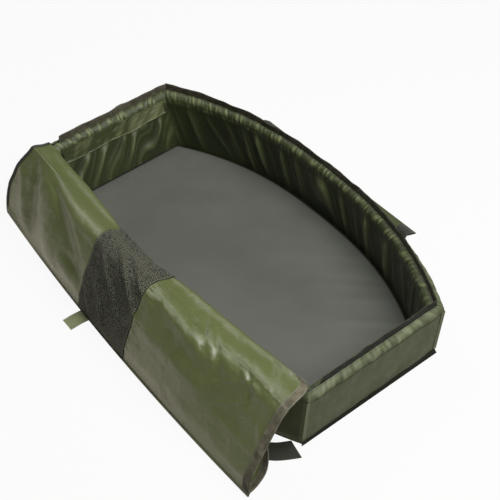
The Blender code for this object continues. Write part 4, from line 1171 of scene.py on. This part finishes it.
    def form(self, panel: Panel, columns: int) -> Array:
        """Points that a panel's smooth form passes through, by column and by place in the section.

        The crest's points follow the front wall's top, and the slope's are a mix of three sections,
        by the distance along the lid.
        """
        left, middle, right = (np.array(points) for points in (self.left_section, self.middle_section,
                                                               self.right_section))
        down = np.concatenate([self.crest_reach, middle[:, 0]])
        along = between(*self.ends(panel, down), np.linspace(0, 1, columns)[:, None])
        at_left = (1 - smooth_step(along, *self.left_ease))[..., None]
        at_right = smooth_step(along, *self.right_ease)[..., None]
        crest = len(self.crest_reach)
        section = (left * at_left[:, crest:] + right * at_right[:, crest:]
                   + middle * (1 - at_left - at_right)[:, crest:])
        slope = self.frame.point(along[:, crest:], section[..., 0], section[..., 1])

        x = self.frame.point(along[:, :crest], 0.0, 0.0)[..., 0]
        place = np.clip(PLAN.place_at(x, PLAN.wall_thickness, self.crest_heights[0]), -1, 1)
        shift = np.interp(x, *np.array(self.hem_line).T)
        hem = PLAN.front_y(place, PLAN.wall_thickness, self.crest_heights[1]) + shift
        top = PLAN.front_y(place, PLAN.wall_thickness / 2, PLAN.wall_height) - 0.004
        y = np.where(np.arange(crest) < 2, hem, top)
        y[:, 0] -= 0.0015
        heights = between(np.array(self.crest_heights), np.array(self.crest_heights_right),
                          smooth_step(x, 0.30, 0.46))
        lifted = smooth_step(-shift[:, :1], 0.002, 0.009) + smooth_step(np.abs(place[:, :1]), 0.90, 0.98)
        heights[:, :1] += np.clip(lifted, 0, 1) * (self.raised_hem - heights[:, :1])
        return np.concatenate([np.stack([x, y, heights], axis=-1), slope], axis=1)

    def drape(self, panel: Panel, columns: int) -> Grids:
        """A panel from its hem over the crest and down to the fold.

        The folds' places were read off the lid's flat slope at the slant at which it is seen, so a
        point is looked up where that line of sight through it meets the flat slope. The folds fade at
        the hem, over the crest and at the foot, where the cloth is creased.

        Args:
            panel: Which panel.
            columns: Count of points along the crest.

        Returns:
            The grid and its unit normals.
        """
        grid = curves_through(self.form(panel, columns), self.steps)
        away = grid - self.frame.origin
        along, down, out = (away @ way for way in (self.frame.along, self.frame.down, self.frame.out))
        rise = self.rise(along - self.sight_along * out, down + self.sight_down * out)
        first, last = (self.frame.length - away_from_foot for away_from_foot in self.foot_fade)
        rise = rise * (1 - smooth_step(down, first, last))
        rise = rise * smooth_step(np.arange(grid.shape[1])[None, :], 4, 18)
        rise = rise * np.maximum(smooth_step(along, -0.14, -0.06), smooth_step(down, 0.002, 0.030))
        grid = grid + self.outer_normals(grid) * rise[..., None]
        slip = self.foot_shift(along) * (np.clip(down, 0, None) / self.frame.length) ** 2
        grid = grid + slip[..., None] * self.frame.flat_out
        if panel is Panel.MESH:
            grid = grid + self.outer_normals(grid) * self.mesh_lift
        return grid, self.outer_normals(grid)

    def outer_normals(self, grid: Array) -> Array:
        """Unit normals on the lid's shown side."""
        normal = unit_normals(grid)
        return normal if normal[..., 2].sum() > 0 else -normal

    def under(self, panel: Panel, columns: int) -> Grids:
        """Grids of the first folded layer and of the free edge behind it.

        Each starts with half a turn about the fold, so that it meets the layer before it.

        Args:
            panel: Which panel.
            columns: Count of points along the crest.

        Returns:
            The two grids.
        """
        length, tip = self.frame.length, self.frame.length - self.tail_depth
        share = np.linspace(0, 1, columns)[:, None]
        turn = np.linspace(0, math.pi, 9)[None, 1:]
        r = self.fold_radius
        flat = np.linspace(length - 0.008, length - r, 4)[None, :]
        back = np.linspace(length - r, tip + r, 60)[None, 1:]
        down = np.concatenate([flat, length - r + r * np.sin(turn), back], axis=1)
        out = np.concatenate([0 * flat, -r + r * np.cos(turn), -2 * r + 0 * back], axis=1)
        climb = np.clip((length - down) / self.tail_depth, 0, 1)
        first, last = self.ends(panel, down)
        first = self.tail_tip_left if panel is Panel.LEFT else first
        last = self.tail_tip_right if panel is Panel.RIGHT else last
        at_fold = self.ends(panel, length + 0 * down)
        along = between(between(at_fold[0], first, climb), between(at_fold[1], last, climb), share)
        layer = np.arange(down.shape[1])[None, :] > 12
        out = out - layer * self.layer_gap * smooth_step(climb, 0.05, 0.4)
        near_fold = smooth_step(down, length - self.bow_reach, length - 0.002)
        tail = self.frame.point(along, down, out)
        tail = tail + (self.foot_shift(along) * near_fold)[..., None] * self.frame.flat_out

        first_edge, last_edge = self.tail_tip_left + self.edge_inset, self.tail_tip_right - self.edge_inset
        at_tip = [float(end[0]) for end in self.ends(panel, np.array([tip]))]
        low = first_edge if panel is Panel.LEFT else at_tip[0]
        high = last_edge if panel is Panel.RIGHT else at_tip[1]
        along = between(low, high, share)
        place = 2 * (along - first_edge) / (last_edge - first_edge) - 1
        depth = between(self.edge_end_depth, self.edge_depth, PLAN.bulge_share(np.clip(place, -1, 1)))
        flat = np.linspace(tip + 0.008, tip + r, 4)[None, :]
        bend = tip + r - r * np.sin(turn)
        steps = np.linspace(0, 1, 46)[None, 1:]
        down = np.concatenate([flat + 0 * along, bend + 0 * along, tip + r + (depth - r) * steps], axis=1)
        base = -2 * r - self.layer_gap
        out = np.concatenate([base + 0 * flat, base - r + r * np.cos(turn), base - 2 * r + 0 * steps], axis=1)
        settle = self.layer_gap * smooth_step(down, tip + 0.03, length - 0.015)
        return tail, self.frame.point(along, down, out + settle)

    def tape_grid(self, width: float, lift: float, panel: Panel) -> Grids:
        """Strip that follows an end of the lid, lifted off its shown side, and its normals.

        Args:
            width: Width of the strip.
            lift: How far it stands off the lid.
            panel: The panel whose outer end it follows.
        """
        full, normal = self.drape(panel, 60)
        if panel is Panel.RIGHT:
            full, normal = full[::-1], normal[::-1]
        reach = np.linalg.norm(full - full[:1], axis=2)
        share = np.linspace(-self.tape_overhang, width, 9)
        column = np.clip(share / reach[6:7].mean() * 6, -0.2, None)
        low = np.clip(np.floor(column).astype(int), 0, None)
        part = (column - low)[:, None, None]
        grid = full[low] * (1 - part) + full[low + 1] * part
        lifted = normal[low] * (1 - part) + normal[low + 1] * part
        return grid + lifted * lift, lifted

    def put(self, name: str, grid: Array, normal: Array, thickness: float, finish: Finish,
            crest_node: str, slope_node: str) -> Tuple[Piece, Piece]:
        """Builds a strip of the lid as two pieces that meet on the lid's hinge.

        The first stays on the mat. The second swings with the lid.

        Args:
            name: The two pieces' name, before crest and slope.
            grid: Points of the strip, by column and by place down it.
            normal: Its unit normals.
            thickness: Its thickness.
            finish: Its finish.
            crest_node: CAD node that the first stands for.
            slope_node: CAD node that the second stands for.
        """
        at = self.crest_steps
        crest = cloth(name + "_crest", grid[:, :at + 1], thickness, normal=normal[:, :at + 1])
        slope = cloth(name + "_slope", grid[:, at:], thickness, normal=normal[:, at:])
        WARDROBE.dress(crest, finish, "mat", crest_node)
        WARDROBE.dress(slope, finish, "lid", slope_node)
        tuple(self.frame.out)
        tuple(self.frame.origin)
        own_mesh(slope)
        return crest, slope

    def build(self) -> None:
        """Builds and dresses the lid."""
        foot = self.frame.point(0.0, self.frame.length, 0.0)
        top = self.frame.point(0.0, self.frame.length - self.tail_depth, -2 * self.fold_radius - self.layer_gap)
        for panel, columns, width, strip in ((Panel.LEFT, 190, 0.40, 0.065), (Panel.MESH, 110, 0.213, 0.050),
                                             (Panel.RIGHT, 220, 0.475, 0.065)):
            finish = Finish.MESH if panel is Panel.MESH else Finish.LID
            name = panel.value
            crest, slope = self.put(f"lid_{name}", *self.drape(panel, columns), self.thickness, finish,
                                    f"lid_crest_{name}", f"lid_drape_{name}")
            tail_grid, edge_grid = self.under(panel, columns // 2)
            if panel is Panel.RIGHT:
                split = int(self.loop_share * len(tail_grid))
                self.loop(tail_grid[split:])
                tail_grid = tail_grid[:split + 1]
            tail = cloth(f"lid_{name}_folded_layer", tail_grid, self.thickness)
            WARDROBE.dress(tail, finish, "", f"lid_tail_{name}")
            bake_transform(tail)
            edge = cloth(f"lid_{name}_free_edge", edge_grid, self.thickness)
            WARDROBE.dress(edge, finish, "", f"lid_edge_{name}")
            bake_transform(edge)
        for kind, width, lift, panel, finish in (
                ("tape", self.tape_width, 0.0015, Panel.RIGHT, Finish.LID_TAPE),
                ("binding", self.binding_width, 0.0014, Panel.LEFT, Finish.DARK_WEBBING)):
            side = panel.value
            pieces = self.put(f"lid_end_{kind}", *self.tape_grid(width, lift, panel), NYLON, finish,
                              f"lid_crest_{side}", f"lid_{kind}_{side}")
        self.tab()

    def loop(self, grid: Array) -> None:
        """The folded layer's near end, which bulges away from the lid as a rounded loop, and its tape.

        The bulge is a sine of the distance from the fold, and grows with the square of the distance from the
        layer's flat part.
        """
        away = np.clip((self.frame.length - 0.008 - (grid - self.frame.origin) @ self.frame.down) / 0.128, 0, 1)
        grown = np.linspace(0, 1, len(grid))[:, None] ** 2
        layer = np.arange(grid.shape[1])[None, :] > 3
        bulge = self.loop_bulge * np.sin(math.pi * away ** 0.75) * grown * layer
        grid = grid - bulge[..., None] * self.frame.out
        normal = unit_normals(grid)
        end = cloth("lid_near_end_loop", grid, self.thickness, normal=normal)
        strip = grid[-4:, 12:] + normal[-4:, 12:] * 0.0014 * np.sign(normal[-1, 40] @ self.frame.out)
        edge = cloth("lid_near_end_loop_tape", strip, NYLON, normal=normal[-4:, 12:])
        anchor = tuple(self.frame.point(0.5, 0.15, -2 * self.fold_radius))
        for piece, finish in ((end, Finish.LID), (edge, Finish.HOOK)):
            WARDROBE.dress(piece, finish, "lid_tail", "lid_tail_right")
            tuple(self.frame.out)
            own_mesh(piece)

    def tab(self, centre: float = -0.1270, width: float = 0.039, reach: float = 0.050) -> None:
        """The pull tab: webbing that leaves the fold and lies on the ground."""
        start = self.frame.point(centre, self.frame.length - 0.0004, 0.0013)
        share = np.linspace(0, 1, 40)
        across = np.linspace(-width / 2, width / 2, 30)
        away = np.array([self.frame.along[1], -self.frame.along[0], 0.0])
        run = share * reach + self.foot_shift(centre) * smooth_step(share, 0, 0.3)
        grid = start + across[:, None, None] * self.frame.along + run[None, :, None] * away
        rise = 0.0016 * np.sin(math.pi * share) ** 2
        grid[..., 2] = between(start[2], 0.0011, 1 - (1 - share) ** 2) + rise
        WARDROBE.sew(cloth("lid_pull_tab", grid, WEBBING), Finish.LIGHT_WEBBING, "pull_tab", "pull_tab",
                     flat=(width, 0.056), held="laid", rests_on=["lid_left_slope"])


@dataclass
class Straps:
    """Webbing sewn up the long walls, its two arches behind, and the loose end on the ground."""

    width: float = 0.038
    thickness: float = WEBBING
    place: float = 0.262
    foot: float = 0.0027
    leaves_wall: float = 0.120
    front_top: float = 0.150
    standoff: float = 0.0022
    arch_rise: float = 0.052
    axis_y: float = 0.352
    axis_z: float = 0.146

    def curve(self, points: Sequence[Sequence[float]], share: Array) -> Array:
        """Points on a cubic curve."""
        a, b, c, d = (np.asarray(point, float) for point in points)
        t = share[:, None]
        return (1 - t) ** 3 * a + 3 * t * (1 - t) ** 2 * b + 3 * t ** 2 * (1 - t) * c + t ** 3 * d

    def build(self) -> None:
        """Builds and dresses the straps."""
        inset = -(PLAN.fit + self.thickness / 2 + self.standoff)
        across = np.linspace(-self.width / 2, self.width / 2, 19)[:, None]
        for name, side in (("left", -1), ("right", 1)):
            x = side * self.place + across
            height = np.linspace(self.foot, self.front_top, 60)[None, :]
            grid = PLAN.long_face(-1, PLAN.place_at(x, inset, height), inset, height)
            WARDROBE.sew(cloth(f"front_{name}_webbing", grid, self.thickness), Finish.DARK_WEBBING, "mat",
                         f"front_strap_{name}", flat=(self.width, 0.152), held="stretched",
                         rests_on=["front_wall_outer_cover"])
            height = np.linspace(self.foot, self.leaves_wall, 46)[None, :]
            wall = PLAN.long_face(1, PLAN.place_at(x, inset, height), inset, height)
            share = np.linspace(0, 1, 50)[1:]
            end_y = self.axis_y - self.thickness
            arch = np.stack([self.curve((leave, leave + (0, 0, self.arch_rise),
                                         (leave[0], end_y - 0.024, self.axis_z + 0.020),
                                         (leave[0], end_y, self.axis_z)), share) for leave in wall[:, -1]])
            WARDROBE.sew(cloth(f"back_{name}_webbing", np.concatenate([wall, arch], axis=1), self.thickness),
                         Finish.DARK_WEBBING, "mat", f"back_strap_{name}", flat=(self.width, 0.20),
                         held="stretched", rests_on=["back_wall_outer_cover"])
        self.loose_end()

    def loose_end(self, width: float = 0.048) -> None:
        """Loose end: a flat strip along a cubic curve, its cut tip a little raised."""
        wall_y = float(PLAN.front_y(PLAN.place_at(self.place, 0.0, 0.0), 0.0, 0.0))
        start = np.array([self.place, wall_y - self.thickness + 0.0010 - width / 2])
        bend = start + (0.150, -0.011)
        turn = bend + (0.0464, 0.0187)
        tip = turn + (0.0480, 0.0796)
        share = np.linspace(0, 1, 90)
        path = self.curve((start, bend, turn, tip), share)
        ahead = np.gradient(path, axis=0)
        ahead = ahead / np.linalg.norm(ahead, axis=1, keepdims=True)
        left_hand = np.stack([-ahead[:, 1], ahead[:, 0]], axis=1)
        across = np.linspace(-width / 2, width / 2, 21)
        plan = path[None] + across[:, None, None] * (left_hand - 0.33 * ahead * share[:, None] ** 8)[None]
        uneven = np.maximum(1 + soft_noise(plan[..., 0], plan[..., 1], 0.06, 41), 0)
        lift = 0.0012 + 0.004 * smooth_step(share, 0.8, 1.0) + 0.0008 * uneven * smooth_step(share, 0.4, 1)
        piece = cloth("loose_webbing_end", np.concatenate([plan, lift[..., None]], axis=2), self.thickness)
        WARDROBE.sew(piece, Finish.DARK_WEBBING, "mat", "loose_strap_end", flat=(width, 0.275), held="laid")


@dataclass
class CarryWings:
    """The carry wings: the back one hangs behind the mat and the front one behind the lid."""

    axis_y: float = 0.352
    axis_z: float = 0.146
    seam_height: float = 0.152
    fold_height: float = 0.007
    bend_radius: float = 0.007
    lower_length: float = 0.080
    top_half: float = 0.281
    grip_half: float = 0.072
    mesh_half: float = 0.095
    grip_radius: float = 0.011
    grip_length: float = 0.0725
    front_top: float = 0.150
    front_top_half: float = 0.236
    front_grip_y: float = -0.3345
    webbing: float = 0.038
    webbing_out: float = -0.0030
    ground_gap: float = 0.0003
    front_grip_angle: float = 57.0

    def half(self, run: Array) -> Array:
        """Half width of the back wing at a distance from its hinge."""
        total = self.axis_z - self.fold_height + self.lower_length
        return between(self.top_half, self.grip_half, run / total)

    def point(self, across: Array, run: Array, out: Array) -> Array:
        """Points on the wing: it hangs, turns through a small quarter circle, and lies outwards."""
        across, run, out = np.broadcast_arrays(across, run, out)
        hang = self.axis_z - self.fold_height
        r = self.bend_radius
        bend = np.clip((run - (hang - r)) / (2 * r), 0, 1) * math.pi / 2
        upper = np.minimum(run, hang - r)
        past = np.maximum(run - (hang + r), 0)
        rise = (self.grip_radius - self.fold_height) / self.lower_length
        y = self.axis_y + r - r * np.cos(bend) + past + out * np.cos(bend)
        z = self.axis_z - upper - r * np.sin(bend) + past * rise + out * np.sin(bend)
        return points_at(across, y, z)

    def grip(self, name: str, y: float, body: str, node: str) -> None:
        """Padded grip: rings along X whose radius crowns in the middle and draws in at its ends."""
        share = np.linspace(-1, 1, 70)
        turn = np.linspace(0, 2 * math.pi, 48, endpoint=False)
        radius = self.grip_radius * np.clip(1 - np.abs(share) ** 14, 0.05, 1) ** 0.5
        ripple = 1 - 0.035 * (0.5 + 0.5 * np.cos(2 * math.pi * share * 9))[:, None] - 0.10 * np.exp(
            -((turn - 1.5 * math.pi) / 0.16) ** 2)[None, :]
        r = radius[:, None] * ripple
        rings = points_at(share[:, None] * self.grip_length, y + r * np.cos(turn)[None, :],
                          self.grip_radius + self.ground_gap + r * np.sin(turn)[None, :])
        piece = WARDROBE.dress(rounded_body(name, rings), Finish.ROLL, body, node)

    def build_back(self) -> None:
        """Builds and dresses the back wing."""
        hang = self.axis_z - self.fold_height
        total = hang + self.lower_length
        stop = total - self.grip_radius - self.ground_gap
        run = np.linspace(0.0013, hang + 0.004, 60)[None, :]
        rest = np.linspace(hang + 0.010, stop, 30)[None, :]
        for name, side in (("left", -1), ("right", 1)):
            share = np.linspace(0, 1, 70)[:, None]
            across = side * between(self.mesh_half - 0.002, self.half(run), share)
            sag = 0.0020 * soft_noise(across, run, 0.09, 61 + side) * smooth_step(run, 0.0, 0.03)
            grid = self.point(across, run, sag * (1 - smooth_step(run, 0.10, 0.13)))
            panel = WARDROBE.sew(cloth(f"back_wing_{name}_cloth", grid, NYLON), Finish.OUTER, "wing",
                                 f"wing_panel_{name}", flat=(0.186, 0.145), area=0.0205, held="hung",
                                 rests_on=["wing_seam_cloth"])
            width = np.linspace(0, self.webbing, 17)[:, None]
            grid = self.point(side * (self.half(run) - width), run, self.webbing_out)
            WARDROBE.sew(cloth(f"back_wing_{name}_webbing", grid, WEBBING), Finish.DARK_WEBBING, "wing",
                         f"wing_strap_{name}", flat=(self.webbing, 0.142), held="hung", rests_on=[panel])
            grid = self.point(side * (self.half(rest) - width), rest, self.webbing_out)
            WARDROBE.sew(cloth(f"back_wing_{name}_grip_webbing", grid, WEBBING), Finish.DARK_WEBBING,
                         "wing_lower", f"wing_lower_strap_{name}", flat=(self.webbing, 0.06), held="laid")
        across = np.linspace(-self.mesh_half, self.mesh_half, 90)[:, None]
        grid = self.point(across, run, 0.0014 + 0.0016 * soft_noise(across, run, 0.06, 66)
                          * smooth_step(run, 0, 0.03) * (1 - smooth_step(run, 0.10, 0.13)))
        WARDROBE.sew(cloth("back_wing_mesh_cloth", grid, NYLON), Finish.MESH, "wing", "wing_mesh",
                     flat=(0.19, 0.145), held="hung", rests_on=["wing_seam_cloth"])
        share = np.linspace(-1, 1, 80)[:, None]
        low = np.linspace(hang - 0.004, stop, 50)[None, :]
        grid = self.point(share * self.half(low), low, 0.0)
        lower = cloth("back_wing_lower_mesh", grid, NYLON)
        WARDROBE.dress(lower, Finish.MESH, "", "wing_lower_panel")
        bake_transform(lower)
        self.grip("back_wing_padded_grip", self.axis_y + self.lower_length, "wing_lower", "wing_grip")

        across = np.linspace(-0.240, 0.240, 120)[:, None]
        near = PLAN.back_y(PLAN.place_at(across, 0.0, self.seam_height), 0.0) + 0.0030
        share = np.linspace(0, 1, 14)[None, :]
        y = between(near, self.axis_y - 0.0013, share)
        grid = points_at(across, y, between(self.seam_height, self.axis_z, share))
        WARDROBE.sew(cloth("wing_seam_cloth", grid, NYLON), Finish.OUTER, "mat", "wing_seam_strip",
                     flat=(0.022, 0.48), held="stretched", rests_on=["back_wall_outer_cover"])

    def build_front(self) -> None:
        """Builds and dresses the front wing, which hangs to its grip on the ground."""
        angle = math.radians(self.front_grip_angle)
        reach = self.grip_radius + 0.0008
        end_y = self.front_grip_y + reach * math.cos(angle)
        end_z = self.grip_radius + self.ground_gap + reach * math.sin(angle)
        share = np.linspace(0, 1, 60)[None, :]
        edge = self.mesh_half / self.front_top_half
        for name, low, high, finish in (("left", -1.0, -edge, Finish.OUTER), ("mesh", -edge, edge, Finish.MESH),
                                        ("right", edge, 1.0, Finish.OUTER)):
            place = np.linspace(low, high, 60)[:, None]
            across = place * self.front_top_half
            top_y = PLAN.front_y(PLAN.place_at(across, 0.0, self.front_top), 0.0, self.front_top) - 0.0045
            grid = points_at(between(across, place * self.grip_length, share), between(top_y, end_y, share),
                             between(self.front_top, end_z, share))
            wide = (high - low) * self.front_top_half
            WARDROBE.sew(cloth(f"front_wing_{name}_cloth", grid, NYLON), finish, "mat", f"front_wing_{name}",
                         flat=(wide, 0.16), area=wide * 0.16 * 0.66, held="hung",
                         rests_on=["front_wall_outer_cover"])
        self.grip("front_wing_padded_grip", self.front_grip_y, "mat", "front_wing_grip")

    def build(self) -> None:
        """Builds both wings."""
        self.build_back()
        self.build_front()


@dataclass
class Studio:
    """Pale floor, soft light and the camera."""

    azimuth: float = 50.94
    elevation: float = 45.56
    roll: float = -0.51
    eye: Tuple[float, float, float] = (1.7057, -1.3334, 2.3027)
    lens: float = 89.27
    sky_level: float = 0.10
    floor_half: float = 12.0
    floor_glow: float = 0.92
    warm: Colour = (0.76, 0.70, 0.56)

    def camera(self) -> None:
        """Camera at the photograph's viewing angle: its axes come from azimuth, elevation and roll."""
        az, el, roll = (math.radians(value) for value in (self.azimuth, self.elevation, self.roll))
        back = Vector((math.sin(az) * math.cos(el), -math.cos(az) * math.cos(el), math.sin(el)))
        right = (-back).cross(Vector((0, 0, 1))).normalized()
        up = right.cross(-back)
        side = right * math.cos(roll) + up * math.sin(roll)
        head = up * math.cos(roll) - right * math.sin(roll)
        data = bpy.data.cameras.new("studio_camera")
        data.sensor_width, data.lens = 36.0, self.lens
        data.clip_start, data.clip_end = 0.05, 60.0
        camera = bpy.data.objects.new("studio_camera", data)
        bpy.context.scene.collection.objects.link(camera)
        turned = Matrix((side, head, back)).transposed().to_4x4()
        camera.matrix_world = Matrix.Translation(Vector(self.eye)) @ turned
        bpy.context.scene.camera = camera

    def lamp(self, name: str, place: Sequence[float], aim: Sequence[float], size: float, power: float) -> None:
        """Soft box that looks at a point."""
        data = bpy.data.lights.new(name, "AREA")
        data.shape, data.size, data.energy = "DISK", size, power
        lamp = bpy.data.objects.new(name, data)
        bpy.context.scene.collection.objects.link(lamp)
        lamp.location = Vector(place)
        lamp.rotation_mode = "QUATERNION"
        lamp.rotation_quaternion = (Vector(aim) - Vector(place)).to_track_quat("-Z", "Y")

    def floor(self) -> None:
        """Pale floor that keeps the shadow and is near white to the camera."""
        corners = [(x * self.floor_half, y * self.floor_half, -0.0004) for x, y in
                   ((-1, -1), (1, -1), (1, 1), (-1, 1))]
        mesh = bpy.data.meshes.new("studio_floor")
        mesh.from_pydata(corners, [], [(0, 1, 2, 3)])
        floor = bpy.data.objects.new("studio_floor", mesh)
        bpy.context.scene.collection.objects.link(floor)
        bench = Bench("studio floor")
        bench.finish((0.56, 0.56, 0.55, 1.0), 0.9, bench.relief(bench.noise(30.0), 0.0), specular=0.1)
        glow = bench.node("ShaderNodeEmission")
        path = bench.node("ShaderNodeLightPath")
        bench.feed(glow.inputs["Color"], bench.mix(path.outputs["Is Glossy Ray"], (1.0, 1.0, 1.0), self.warm))
        seen = bench.sum("MAXIMUM", path.outputs["Is Camera Ray"], bench.sum(
            "MAXIMUM", path.outputs["Is Glossy Ray"], path.outputs["Is Transmission Ray"]))
        mixed = bench.node("ShaderNodeMixShader")
        bench.feed(mixed.inputs[0], bench.sum("MULTIPLY", seen, self.floor_glow))
        bench.tree.links.new(bench.shader.outputs[0], mixed.inputs[1])
        bench.tree.links.new(glow.outputs[0], mixed.inputs[2])
        output = next(node for node in bench.tree.nodes if node.type == "OUTPUT_MATERIAL")
        bench.tree.links.new(mixed.outputs[0], output.inputs["Surface"])
        mesh.materials.append(bench.material)

    def sky(self) -> None:
        """World: an even, faintly cool grey light."""
        world = bpy.data.worlds.new("studio_sky")
        bpy.context.scene.world = world
        world.use_nodes = True
        light = world.node_tree.nodes["Background"]
        light.inputs["Color"].default_value = (0.97, 0.98, 1.0, 1.0)
        light.inputs["Strength"].default_value = self.sky_level

    def build(self) -> None:
        """Sets up the studio."""
        bpy.context.scene.view_settings.view_transform = "Standard"
        self.floor()
        self.sky()
        self.lamp("key_light", (1.3, 0.6, 2.6), (0.0, 0.0, 0.1), 2.4, 105.0)
        self.lamp("accent_light", (-1.45, 0.05, 2.6), (0.3, -0.2, 0.1), 1.1, 19.0)
        self.camera()


def main() -> None:
    """Builds the studio, then the mat's pieces in order."""
    logging.basicConfig(level=logging.INFO, format="%(name)s: %(message)s")
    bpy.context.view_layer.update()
    Studio().build()
    Walls().build()
    Base().build()
    PocketFlap().build()
    Lid().build()
    Straps().build()
    CarryWings().build()


if __name__ == "__main__":
    main()
